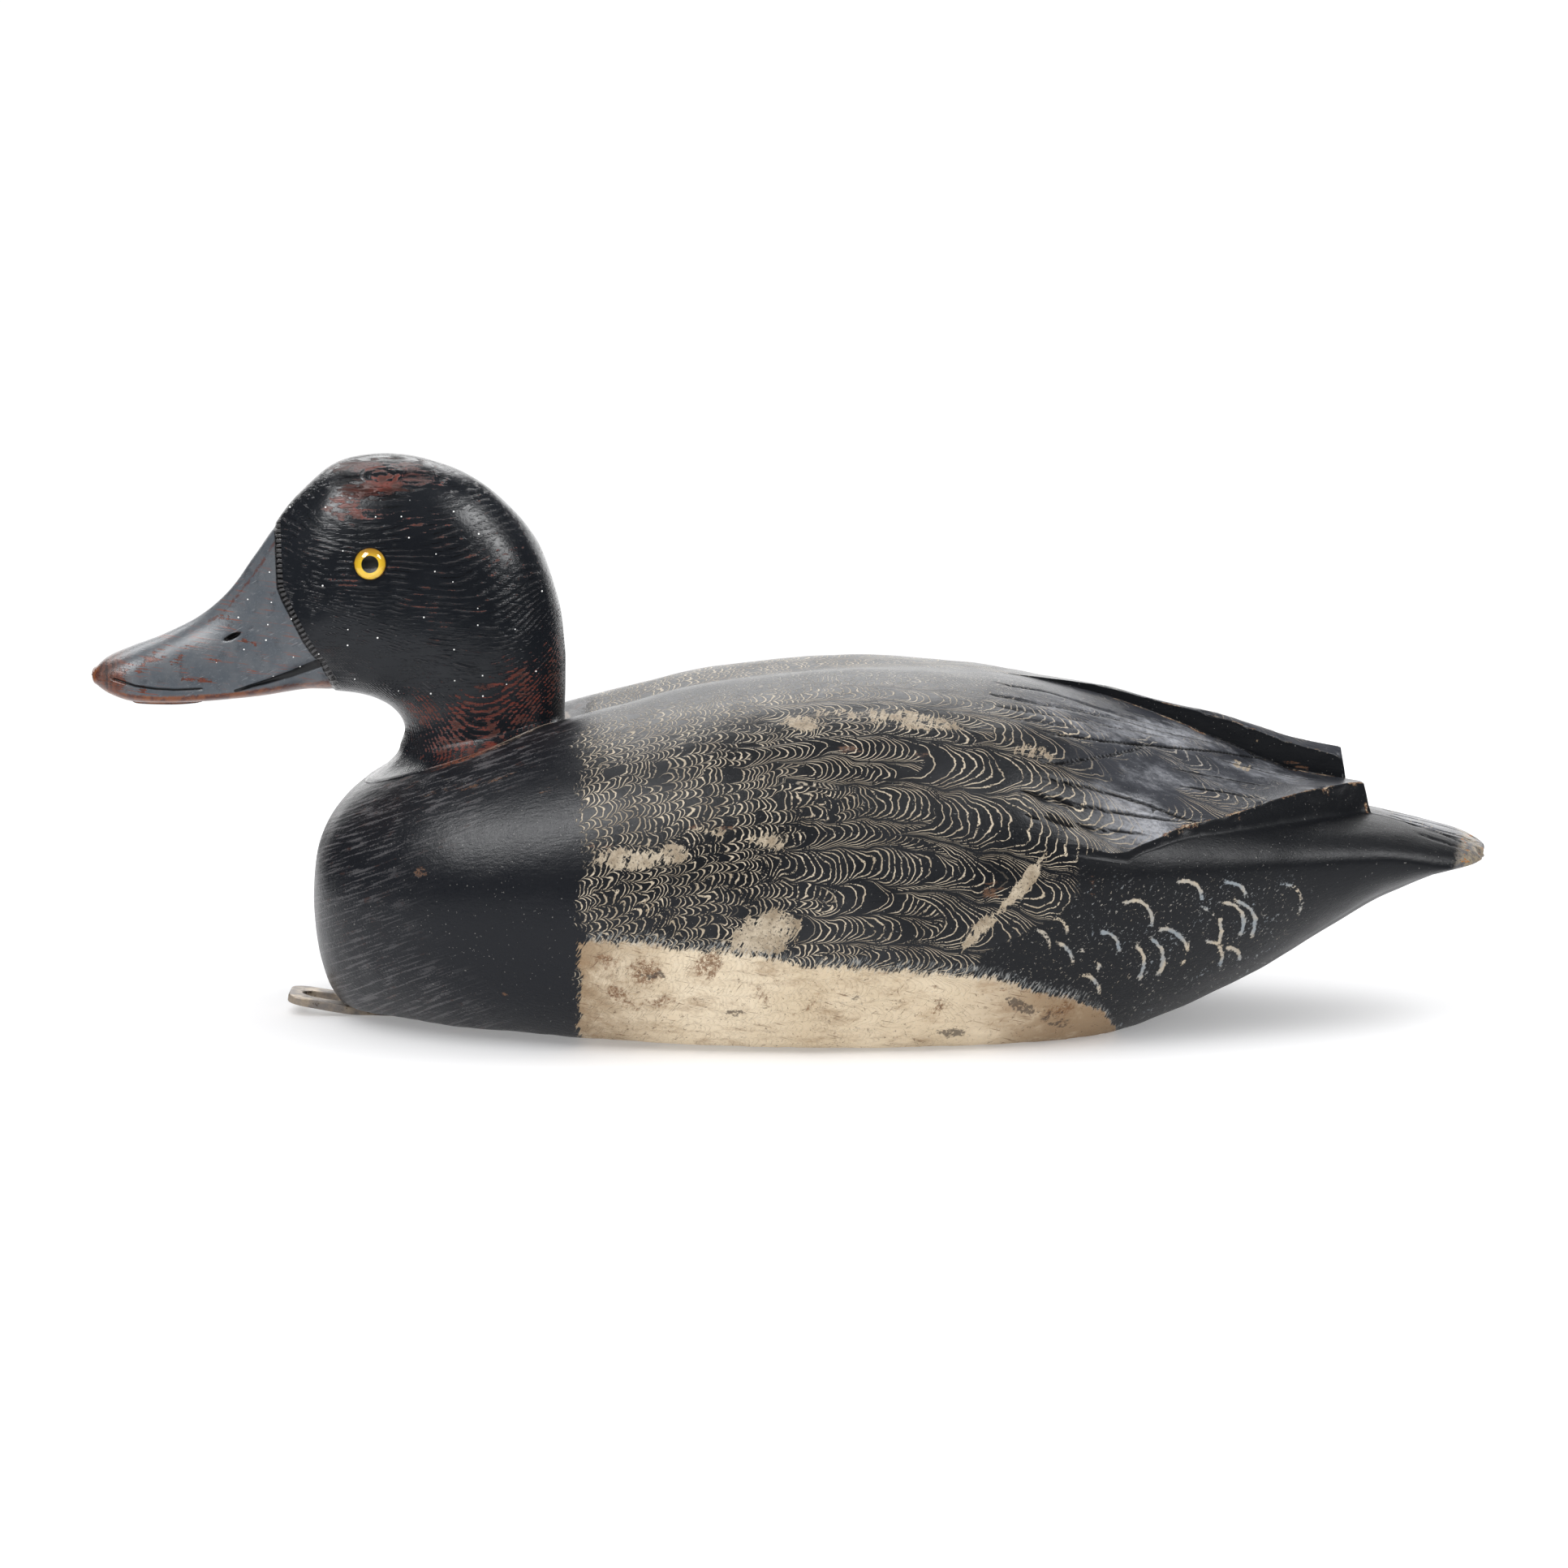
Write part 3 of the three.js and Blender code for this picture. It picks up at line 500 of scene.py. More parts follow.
def nearest_arc(a, b, arcs):
    """Signed distance off the nearest scale's circle, and how strongly that scale is drawn there."""
    off = np.full(np.shape(a), 99.0)
    gate = np.zeros(np.shape(a))
    for a0, b0, radius, first, last, strength in arcs:
        miss = np.hypot(a - a0, b - b0) - radius
        angle = np.degrees(np.arctan2(b - b0, a - a0))
        drawn = strength * smooth(angle, first - 12, first + 12) * (1 - smooth(angle, last - 12, last + 12))
        gate = np.where(miss < off, drawn, gate)
        off = np.minimum(off, miss)
    return off, gate


def plan_line(cut, a, b, points):
    """A seen line laid on the carving: each of its points goes to the nearest seen vertex."""
    line = densify(cut, 1.5)
    miss = (a[None] - line[:, :1]) ** 2 + (b[None] - line[:, 1:]) ** 2
    on = points[np.argmin(miss, axis=1)]
    ends = np.concatenate([on[:1], on, on[-1:]])
    return (ends[:-2] + ends[1:-1] + ends[2:]) / 3


def solid_distance(points, line):
    """Distance in space from each point to a line through points."""
    best = np.full(len(points), np.inf)
    for p0, p1 in zip(line[:-1], line[1:]):
        step = p1 - p0
        length = max(float(step @ step), 1e-6)
        t = np.clip(((points - p0) @ step) / length, 0, 1)
        best = np.minimum(best, np.linalg.norm(points - p0 - t[:, None] * step, axis=1))
    return best


def carve_cuts(points, normals, kinds, cut_depth):
    """Feather and tail cuts: the depth falls off as a bell curve from each cut's line.

    The cuts are drawn on the left side and mirrored to the right, a little shifted along.
    Returns the moved points and each vertex's distance to the nearest cut.
    """
    a, b = seen(points)
    on_wing = np.isin(kinds, (WING, WALL))[None, :] & np.ones(a.shape, bool)
    distance = np.full(a.shape, 9.0)
    depth = np.zeros(a.shape)
    for sign in (-1, 1):
        near = (points[..., 1] * sign > -3) & (points[..., 0] > 45)
        wing = near & on_wing & (points[..., 0] < 155)
        tail = near & (points[..., 0] > 150) & (normals[..., 2] > 0.2)
        for group, cuts, strengths in (
            (wing, FEATHER_CUTS, CUT_STRENGTHS), (tail, TAIL_CUTS, [0.6] * len(TAIL_CUTS))
        ):
            where = points[group]
            ga, gb = a[group], b[group]
            for k, (cut, strength) in enumerate(zip(cuts, strengths)):
                shift = 0.0 if sign < 0 else 2.5 * math.sin(3.1 * k)
                line = plan_line([(p[0] + shift, p[1]) for p in cut], ga, gb, where)
                miss = solid_distance(where, line)
                ends = np.minimum(
                    np.linalg.norm(where - line[0], axis=1), np.linalg.norm(where - line[-1], axis=1)
                )
                fade = strength * (0.35 + 0.65 * smooth(ends, 0, 6))
                depth[group] = np.maximum(depth[group], cut_depth * fade * bell(miss, CUT_WIDTH))
                distance[group] = np.minimum(distance[group], miss + 0.5 * (1 - fade))
    return points - normals * depth[..., None], distance


def put_mesh(name, points, caps=(None, None), attributes=None, uvs=None, rows_closed=False):
    """A mesh of a grid, closed round its columns and capped by a point at each end.

    Points and UV maps are in mm. Faces are turned outwards by the sign of the volume they enclose.
    """
    rows, columns = points.shape[:2]
    vertices = points.reshape(-1, 3)
    index = np.arange(rows * columns).reshape(rows, columns)
    index = np.concatenate([index, index[:, :1]], axis=1)
    if rows_closed:
        index = np.concatenate([index, index[:1]], axis=0)
    quads = np.stack([index[:-1, :-1], index[:-1, 1:], index[1:, 1:], index[1:, :-1]], axis=-1).reshape(-1, 4)
    fans = []
    extra = []
    for cap, row, order in ((caps[0], index[0], 1), (caps[1], index[-1], -1)):
        if cap is None:
            continue
        tip = rows * columns + len(extra)
        extra.append(cap)
        pair = (row[1:], row[:-1])[::order]
        fans.append(np.stack([np.full(len(row) - 1, tip), *pair], axis=-1))
    if extra:
        vertices = np.concatenate([vertices, np.array(extra, float)])
    triangles = np.concatenate([quads[:, [0, 1, 2]], quads[:, [0, 2, 3]], *fans])
    p = vertices[triangles]
    volume = np.einsum("ij,ij->i", p[:, 0], np.cross(p[:, 1], p[:, 2])).sum()
    if volume < 0:
        quads = quads[:, ::-1]
        fans = [fan[:, ::-1] for fan in fans]
    mesh = bpy.data.meshes.new(name)
    faces = [quads] + fans
    corners = np.concatenate([f.reshape(-1) for f in faces])
    sizes = np.concatenate([np.full(len(f), f.shape[1]) for f in faces])
    mesh.vertices.add(len(vertices))
    mesh.vertices.foreach_set("co", (vertices * MM).astype(np.float32).reshape(-1))
    mesh.loops.add(len(corners))
    mesh.loops.foreach_set("vertex_index", corners.astype(np.int32))
    mesh.polygons.add(len(sizes))
    starts = np.concatenate([[0], np.cumsum(sizes)[:-1]])
    mesh.polygons.foreach_set("loop_start", starts.astype(np.int32))
    mesh.update(calc_edges=True)
    mesh.polygons.foreach_set("use_smooth", np.ones(len(sizes), bool))
    for key, values in (attributes or {}).items():
        flat = values.reshape(-1)
        tail = [float(flat[:columns].mean()), float(flat[-columns:].mean())][: len(extra)]
        layer = mesh.attributes.new(key, "FLOAT", "POINT")
        layer.data.foreach_set("value", np.concatenate([flat, tail]).astype(np.float32))
    for key, (u, v) in (uvs or {}).items():
        pair = np.stack([u.reshape(-1), v.reshape(-1)], axis=-1) * MM * UV_PER_METRE
        pair = np.concatenate([pair, np.repeat(pair[-1:], len(extra), axis=0)])
        layer = mesh.uv_layers.new(name=key)
        layer.uv.foreach_set("vector", pair[corners].astype(np.float32).reshape(-1))
    mesh.validate()
    thing = bpy.data.objects.new(name, mesh)
    bpy.context.scene.collection.objects.link(thing)
    return thing


def neck_outline(angle, margin=0.0):
    """The neck's foot from above: an oval, broader to the front, on the curve of the photographed seam."""
    along, across = np.cos(angle), np.sin(angle)
    power = 2 / NECK_ROUNDNESS
    along = np.sign(along) * np.abs(along) ** power
    across = np.sign(across) * np.abs(across) ** power
    x = NECK_MIDDLE_X + (NECK_HALF_LENGTH + margin) * along
    y = -(NECK_HALF_WIDTH * (1 - NECK_FRONT_SPREAD * along) + margin) * across
    return x, y


NECK_MIDDLE_X = -85.6
NECK_HALF_LENGTH = 26.6
NECK_HALF_WIDTH = 29.0
NECK_FRONT_SPREAD = 0.06
NECK_ROUNDNESS = 2.15


def inside_neck(x, y):
    """Signed distance, about, inside the neck's foot outline: positive under the neck."""
    along = (x - NECK_MIDDLE_X) / NECK_HALF_LENGTH
    across = np.abs(y) / (NECK_HALF_WIDTH * (1 - NECK_FRONT_SPREAD * np.clip(along, -1, 1)))
    radius = (np.abs(along) ** NECK_ROUNDNESS + across**NECK_ROUNDNESS) ** (1 / NECK_ROUNDNESS)
    return (1 - radius) * 0.5 * (NECK_HALF_LENGTH + NECK_HALF_WIDTH)


def body_top_z(x, y):
    """The breast's and back's surface from above, without cuts or the neck's dish."""
    return plain_back_z(x, y, back_z(x))


# The dish under the neck, and chips along the worn edges
DISH_DEPTH = 3.0
CHIP_DEPTH = 0.9
CHIP_SIZE = 5.5
CHIP_REACH = 1.1
CHIP_SHARE = 0.35
# The long and the short swells of the carved surface, and the short one's share
LONG_SWELL = 34
SHORT_SWELL = 11
SHORT_SHARE = 0.35
# How far inwards the panel's border is told apart, a border that is never met and the worn tail's start
PANEL_REACH = 40
NEVER = 300
TAIL_WORN_X = 176.5


def build_body(paint):
    """The body's carving: its rings, unevenness, the dish under the neck, cuts and worn edges."""
    points, kinds = body_grid()
    normals = grid_normals(points)
    x, y = points[..., 0], points[..., 1]
    top_side = normals[..., 2] > 0.1
    under_neck = np.where(top_side, inside_neck(x, y), -9)
    kind = np.broadcast_to(kinds, x.shape)
    comb_v = arc_from_crest(points, kinds)
    points, cut = carve_cuts(points, normals, kinds, paint.cut_depth / MM)
    uneven = wander(points, LONG_SWELL, 3) + wander(points, SHORT_SWELL, 5) * SHORT_SHARE
    points = points + normals * (uneven * paint.unevenness / MM)[..., None]
    dish = DISH_DEPTH * smooth(under_neck, 0.9, 6)
    points[..., 2] = np.maximum(points[..., 2] - dish, 0)
    edge = rim_distance(points, kind)
    chip = np.clip(wander(points, CHIP_SIZE, 8) - CHIP_SHARE, 0, 1) * np.exp(-((edge / CHIP_REACH) ** 2))
    points = points - normals * CHIP_DEPTH * chip[..., None]
    points[..., 2] = np.maximum(points[..., 2], 0)
    a, b = seen(points)
    panel_top = np.interp(a, *zip(*PANEL_TOP))
    panel = np.minimum(np.minimum(panel_top - b, a - PANEL_FRONT), PANEL_REACH)
    comb_end = np.interp(b, *zip(*COMB_END))
    comb_end = np.where((kind == WING) | (kind == MEETING), NEVER, comb_end)
    wing = smooth(x - 0.9 * np.maximum(np.abs(y) - 30, 0), 40, 78)
    wall = np.where(kind == WALL, smooth(x, 74, 92), 0.0)
    wall = np.where(kind == MEETING, smooth(x, 55, 66), wall)
    attributes = {
        "dust_and_sheen": blobs(a, b, WING_DUST_AND_SHEEN),
        "breast": BREAST_EDGE - a,
        "panel": panel,
        "flank": a - comb_end,
        "wing": np.where(kind == WING, wing, 0.0),
        "wall": wall,
        "cut": cut,
        "edge": edge,
        "cream": blobs(a, b, CREAM_PATCHES),
        "brown": blobs(a, b, BROWN_PATCHES),
        "smudge": blobs(a, b, SMUDGES),
        "rust": blobs(a, b, RUST_STAINS),
        "seam": -inside_neck(x, y),
        "tail_end": x - TAIL_WORN_X + 2 * (np.abs(y) / 20) ** 2,
    }
    for k in range(SCALE_GROUPS):
        arcs = nearest_arc(a, b, SCALE_ARCS[k::SCALE_GROUPS])
        attributes["arc_off_%d" % k], attributes["arc_drawn_%d" % k] = arcs
    uvs = {"Comb": (x, comb_v), "Seen": (a, b)}
    ends = ((BREAST_X, 0, float(widest_z(BREAST_X))), (TAIL_X, 0, float(widest_z(TAIL_X))))
    return put_mesh("carved_body", points, ends, attributes, uvs)


RIGHT_ROWS_START = 37.0


def arc_from_crest(points, kinds):
    """How far round each section a vertex lies from the crest, leaving out the wings' walls.

    The right side's lengths are negative and start further on, so that its rows don't mirror the left's.
    """
    step = np.linalg.norm(np.diff(points[..., 1:], axis=1), axis=-1)
    walls = np.isin(kinds, (WALL, MEETING))
    step = np.where(walls[1:] | walls[:-1], 0, step)
    run = np.concatenate([np.zeros((len(points), 1)), np.cumsum(step, axis=1)], axis=1)
    half = int(np.argmax(np.diff(kinds == BOTTOM))) + BASE_COLUMNS + 1
    last = len(kinds) - MEETING_COLUMNS - 1
    back = run[:, last : last + 1] - run
    return np.where(np.arange(len(kinds))[None, :] <= half, run, -back - RIGHT_ROWS_START)


# Where the wing's rim, its crest and the tail are worn, and a distance away from every edge
RIM_START_X = 80
RIM_END_X = 154
CREST_END_X = 150
TAIL_RIM_X = 181.5
AWAY = 9.0


def rim_distance(points, kind):
    """Distance, about, to the nearest worn edge: a wing's rim or tip, the tail's end, the bottom's edge."""
    x, y, z = points[..., 0], points[..., 1], points[..., 2]
    edge_y = np.minimum(wing_edge_y(x), half_width(x) * WING_WIDEST_SHARE)
    rim = np.where(kind == WING, edge_y - np.abs(y), AWAY)
    rim = np.where(kind == WALL, 0.5 + (np.abs(y) - edge_y) * 0.8, rim)
    rim = rim + 6 * (1 - smooth(x, RIM_START_X, RIM_START_X + 18))
    rim = np.where((x < RIM_START_X) | (x > RIM_END_X), AWAY, rim)
    crest = np.where((kind == WING) & (y > -6), np.abs(y - meeting_y(x)), AWAY)
    crest = np.where(kind == MEETING, 1.6, crest)
    crest = np.where((x < RIM_START_X) | (x > CREST_END_X), AWAY, crest)
    tip_x = np.where(y > -2, RIGHT_TIP_X, LEFT_TIP_X) - 1.5
    tip = np.where(np.isin(kind, (WING, WALL, MEETING)), np.abs(x - tip_x), AWAY)
    tail = np.maximum(0, TAIL_RIM_X - x)
    corner = np.hypot(z - belly_z(x) - 1.0, base_half_width(x) - np.abs(y) - 0.6)
    bottom = np.where(np.isin(kind, (SIDE, EDGE, BOTTOM)), corner, AWAY) + 8 * smooth(x, 84, 100)
    return np.minimum.reduce([rim, crest, np.minimum(tip, AWAY), tail, np.minimum(bottom, AWAY)])


# Head stations from the neck's foot, over the crown and out to the bill's tip: back or top point,
# throat or under point, half width, share of the widest line, squareness above and below it.
HEAD_STATIONS = np.array([
    [-59.3, 80.5, -102.6, 71.6, 21.6, 0.5, 2.1, 2.1],
    [-59.0, 87, -101.4, 75.6, 20.9, 0.5, 2.1, 2.1],
    [-59.0, 97, -102.3, 79.0, 20.9, 0.5, 2.1, 2.1],
    [-60.9, 109.9, -105.0, 82.0, 22.0, 0.53, 2.1, 2.1],
    [-67.2, 126.8, -108.6, 84, 22.8, 0.56, 2.1, 2.2],
    [-80, 140.1, -112, 85, 22.8, 0.6, 2.1, 2.2],
    [-94, 146.6, -115.2, 85.6, 22.4, 0.6, 2.1, 2.2],
    [-107.4, 148.3, -118.6, 85.9, 21.6, 0.6, 2.1, 2.2],
    [-119, 145.9, -122.4, 86, 20.2, 0.6, 2.1, 2.3],
    [-128.1, 138.5, -126.8, 86.0, 17.8, 0.62, 2.0, 2.4],
    [-135, 130.1, -131.8, 85.4, 15.2, 0.7, 1.9, 2.8],
    [-141.2, 121.4, -138.2, 84.5, 13.2, 0.78, 1.8, 3.2],
    [-147.4, 112.8, -144.8, 83.8, 12.2, 0.82, 1.8, 3.2],
    [-155.4, 106, -153, 83.1, 12.0, 0.84, 1.9, 3.2],
    [-164.8, 101.2, -163.4, 82.6, 12.6, 0.8, 2.1, 3.0],
    [-173.2, 98, -172.4, 82.9, 12.8, 0.72, 2.2, 2.6],
    [-179.6, 95.2, -178.8, 84.8, 10.2, 0.62, 2.2, 2.4],
    [-183, 92.3, -182.7, 87.2, 6.0, 0.55, 2.2, 2.2],
])
NECK_RINGS = 125
BILL_RINGS = 135
COLLAR_RINGS = 24
FOOT_RINGS = 5
TIP_RINGS = 7
HEAD_SIDES = 300
BILL_START_SHARE = 0.53
COLLAR_FALL = 1.7


def head_station(share):
    """Sizes at any share of the way from neck to bill: a Catmull-Rom curve through the stations."""
    last = len(HEAD_STATIONS) - 1
    at = np.clip(share, 0, 1) * last
    i = np.minimum(np.floor(at).astype(int), last - 1)
    t = (at - i)[:, None]
    a, b, c, d = (HEAD_STATIONS[np.clip(i + k, 0, last)] for k in (-1, 0, 1, 2))
    return 0.5 * (
        2 * b + (c - a) * t + (2 * a - 5 * b + 4 * c - d) * t**2 + (3 * b - a - 3 * c + d) * t**3
    )


def head_rings(share, angle):
    """Rings of the head: superellipses, squarer below, between a station's top and under points."""
    s = head_station(share)[:, :, None]
    up, out = np.cos(angle)[None, :], np.sin(angle)[None, :]
    square = np.where(up > 0, s[:, 6], s[:, 7])
    rise = np.abs(up) ** (2 / square)
    down = np.where(up > 0, s[:, 5] * (1 - rise), s[:, 5] + (1 - s[:, 5]) * rise)
    y = -np.sign(out) * s[:, 4] * np.abs(out) ** (2 / square)
    return np.stack([mix(s[:, 0], s[:, 2], down), y, mix(s[:, 1], s[:, 3], down)], axis=-1)


def collar_rings(angle, neck):
    """The flare at the neck's foot: from its outline on the breast in to the neck, steep at first."""
    x, y = neck_outline(angle)
    foot = np.stack([x, y, body_top_z(x, y) + 0.12], axis=-1)
    rise = (np.arange(COLLAR_RINGS) / COLLAR_RINGS)[:, None, None]
    inward = 1 - (1 - rise) ** COLLAR_FALL
    rings = np.concatenate([
        mix(foot[None, :, :2], neck[None, :, :2], inward),
        mix(foot[None, :, 2:], neck[None, :, 2:], rise),
    ], axis=-1)
    under = []
    for inset, sink in ((6.0, 2.0), (2.5, 1.7), (0.9, 1.1), (0.35, 0.6), (0.1, 0.25))[:FOOT_RINGS]:
        ux, uy = neck_outline(angle, -inset)
        under.append(np.stack([ux, uy, body_top_z(x, y) - sink], axis=-1))
    return np.concatenate([np.array(under), rings])


BILL_EDGE = [
    (-136.6, 146.0), (-136.4, 129.3), (-136.2, 123.4), (-135.7, 113.2), (-134.4, 109.6), (-130.9, 102.7),
    (-128.8, 98.7), (-125.2, 93.5), (-121.7, 88.5), (-118.0, 80.0),
]
MANDIBLE_LINE = [(-179.0, 89.0), (-173.0, 87.0), (-167.7, 86.2), (-162.5, 85.9), (-155.4, 86.2)]
GAPE_LINE = [(-146.4, 85.5), (-137.8, 87.7), (-131.3, 89.6), (-124.5, 92.4)]
BILL_BOTTOM = [
    (-183.8, 93.0), (-183.7, 87.0), (-181.8, 84.9), (-174.3, 83.6), (-165.7, 82.9), (-144.2, 84.2),
    (-122.1, 87.2),
]
CULMEN_LINE = [
    (-135.6, 127.1), (-139.7, 120.0), (-142.3, 116.5), (-146.6, 110.6), (-148.5, 108.0), (-153.7, 104.1),
]
NOSTRIL = (-147.5, 100.4, 2.5, 0.78, 24.0)
HEAD_WEAR = [
    (-107.3, 141.0, 7, 2.6, 10, 1.02), (-108.0, 145.5, 13, 2.2, 0, 0.7), (-116.5, 136.5, 6, 4, 30, 0.78),
    (-98.3, 142.5, 7, 3, -15, 0.6), (-111, 133.5, 6, 3, 10, 0.6), (-117.4, 115.8, 6, 2, -12, 0.5),
    (-75.6, 120.6, 9, 6, -10, 0.3), (-79.8, 79.4, 17, 7, 14, 0.66), (-88.4, 71.0, 9, 4.4, 10, 0.66),
    (-70.3, 84.6, 9, 9, 30, 0.66), (-96.5, 80.0, 7, 4, -40, 0.64), (-83.2, 70.6, 9, 2.0, 8, 0.8),
    (-62, 92, 3, 12, 0, 0.5), (-96, 130.5, 12, 3.0, -14, 0.34), (-66, 68.9, 6, 1.0, 20, 0.3),
    (-88, 108, 16, 5, 0, 0.20),
]
BILL_WEAR = [
    (-179, 88, 4.5, 5, -20, 0.85), (-175, 91, 6, 2, 20, 0.55), (-166, 96, 5, 2.4, 30, 0.66),
    (-170.5, 92.5, 4, 1.5, 35, 0.75), (-157.5, 88.6, 5, 0.8, -4, 0.8), (-152, 93.6, 2, 0.7, -25, 0.75),
    (-162.5, 94.0, 3, 1.0, 30, 0.7), (-158.0, 99.0, 3, 0.8, 40, 0.6),
    (-143, 98.6, 3.5, 0.7, -22, 0.75), (-148, 101.6, 3, 0.5, -15, 0.4), (-150, 104.6, 4, 3, 45, 0.5),
    (-172, 86, 6, 1.2, 0, 0.7), (-136, 92, 4, 0.6, -10, 0.35), (-144, 91, 5, 0.5, -8, 0.3),
    (-160, 93.5, 3, 2, 0, 0.3),
]


def side_of_line(a, b, line):
    """Signed distance to a line that runs downwards: positive on the bill's side of it."""
    distance, run = line_distance(a, b, line)
    at = np.interp(-b, [-p[1] for p in line], [p[0] for p in line])
    return np.where(a < at, distance, -distance), run


def eye_place(side):
    """The head's surface point that shows at the eye's place, and the normal there."""
    share = np.arange(0.3, 0.62, 0.004)
    angle = np.arange(0.3, 2.2, 0.02)
    grid = head_rings(share, angle)
    miss = np.hypot(grid[..., 0] - EYE_X, grid[..., 2] - EYE_Z)
    i, j = np.unravel_index(np.argmin(miss), miss.shape)
    here, onward, round_it = head_rings(share[i : i + 2], angle[j : j + 2])[[0, 1, 0], [0, 0, 1]]
    normal = np.cross(onward - here, round_it - here)
    normal /= np.linalg.norm(normal)
    normal *= -np.sign(normal[1])
    flip = np.array([1, -side, 1])
    return (here - normal * EYE_SUNK) * flip, normal * flip


# Lines and hollows pressed into the head: how low they reach, their depths and widths
BILL_LOWEST_Z = 83
MIDDLE_STRIP = 3
FAR = 99.0
STEP_GROOVE_DEPTH = 0.25
MANDIBLE_DEPTH = 0.75
MANDIBLE_WIDTH = 0.42
GAPE_DEPTH = 1.1
GAPE_WIDTH = 0.35
GAPE_SPREAD = 0.07
NOSTRIL_DEPTH = 1.5
SOCKET_RADIUS = EYE_RADIUS + 0.05
SOCKET_DEPTH = 1.5
SOCKET_RIM = 0.16


def bell(miss, width):
    """The bell curve that is 1 on a line and falls off over the width beside it."""
    return np.exp(-((miss / width) ** 2))


def build_head(paint):
    """The head's carving: neck, crown and bill, pressed in for the eyes, nostrils and bill lines."""
    angle = np.linspace(0, 2 * np.pi, HEAD_SIDES, endpoint=False)
    share = np.concatenate([
        np.linspace(0, BILL_START_SHARE, NECK_RINGS, endpoint=False),
        np.linspace(BILL_START_SHARE, 1, BILL_RINGS),
    ])
    rings = head_rings(share, angle)
    collar = collar_rings(angle, rings[0])
    centre = rings[-1].mean(axis=0)
    turn = np.linspace(0, np.pi / 2, TIP_RINGS + 1)[1:-1, None, None]
    tip = centre + (rings[-1][None] - centre) * np.cos(turn) + (np.array(BILL_TIP) - centre) * np.sin(turn)
    points = np.concatenate([collar, rings, tip])
    normals = grid_normals(points)
    a, b = seen(points)
    ring = np.arange(len(a))[:, None]
    bill, run = side_of_line(a, b, BILL_EDGE)
    bill = np.where(points[..., 2] > BILL_LOWEST_Z, bill, -20)
    mandible, _ = line_distance(a, b, MANDIBLE_LINE)
    gape, gape_run = line_distance(a, b, GAPE_LINE)
    nostril = oval_distance(a, b, *NOSTRIL)
    flank = np.abs(points[..., 1]) > MIDDLE_STRIP
    open_width = GAPE_WIDTH + GAPE_SPREAD * gape_run
    relief = -paint.bill_step / MM * smooth(bill, -0.6, 0.5) - STEP_GROOVE_DEPTH * bell(bill + 0.1, 0.5)
    relief -= np.where(flank, MANDIBLE_DEPTH * bell(mandible, MANDIBLE_WIDTH), 0)
    relief -= np.where(flank, GAPE_DEPTH * bell(gape, open_width) * smooth(gape_run, 0, 5), 0)
    relief -= np.where(flank, NOSTRIL_DEPTH * smooth(-nostril, -0.15, 0.55), 0)
    eye_miss = np.full(a.shape, FAR)
    for side in (-1, 1):
        place, normal = eye_place(side)
        offset = points - place
        along = offset @ normal
        radial = np.linalg.norm(offset - along[..., None] * normal, axis=-1)
        eye_miss = np.minimum(eye_miss, np.where(np.abs(along) < 6, radial, FAR))
    relief -= SOCKET_DEPTH * smooth(SOCKET_RADIUS - eye_miss, 0.05, 0.9)
    relief += SOCKET_RIM * bell(eye_miss - SOCKET_RADIUS - 0.9, 0.8)
    uneven = wander(points, 26, 21) * 0.1 + wander(points, 8, 22) * 0.03
    relief += uneven * (1 - 0.7 * smooth(bill, -1, 2)) * smooth(ring, 6, 20)
    points = points + normals * relief[..., None]
    bottom, _ = line_distance(a, b, BILL_BOTTOM)
    bottom = np.where((b < np.interp(a, *zip(*BILL_BOTTOM[1:]))) & (a > BILL_BOTTOM[1][0]), 0, bottom)
    culmen, _ = line_distance(a, b, CULMEN_LINE)
    foot_run = np.clip(ring - FOOT_RINGS, 0, None) + np.zeros(a.shape)
    attributes = {
        "bill": bill,
        "bill_run": run,
        "gape": np.where(flank, np.minimum(mandible, gape - 0.5 * open_width), 9),
        "nostril": np.where(flank, nostril, 9),
        "bill_rim": bottom,
        "culmen": culmen,
        "wear": blobs(a, b, HEAD_WEAR),
        "bill_wear": blobs(a, b, BILL_WEAR),
        "foot": foot_run,
        "eye": np.minimum(eye_miss, 30) - SOCKET_RADIUS,
    }
    first = (NECK_MIDDLE_X, 0, float(body_top_z(np.array(NECK_MIDDLE_X), np.array(0.0))) - 2.2)
    return put_mesh("carved_head", points, (first, BILL_TIP), attributes, {"Seen": (a, b)})


def eye_axes(normal):
    """Two directions across an eye's axis."""
    up = np.cross([1.0, 0, 0], normal)
    up /= np.linalg.norm(up)
    return np.cross(normal, up), up


EYE_RINGS = 30
EYE_SIDES = 56
EYE_BACK = 0.9
IRIS_RINGS = 21
IRIS_DEPTH = 0.42
IRIS_RISE = 0.4
IRIS_SHARE = 0.97
IRIS_THICKNESS = 0.25
IRIS_BACK = 0.24
PUPIL_LIFT = 0.25


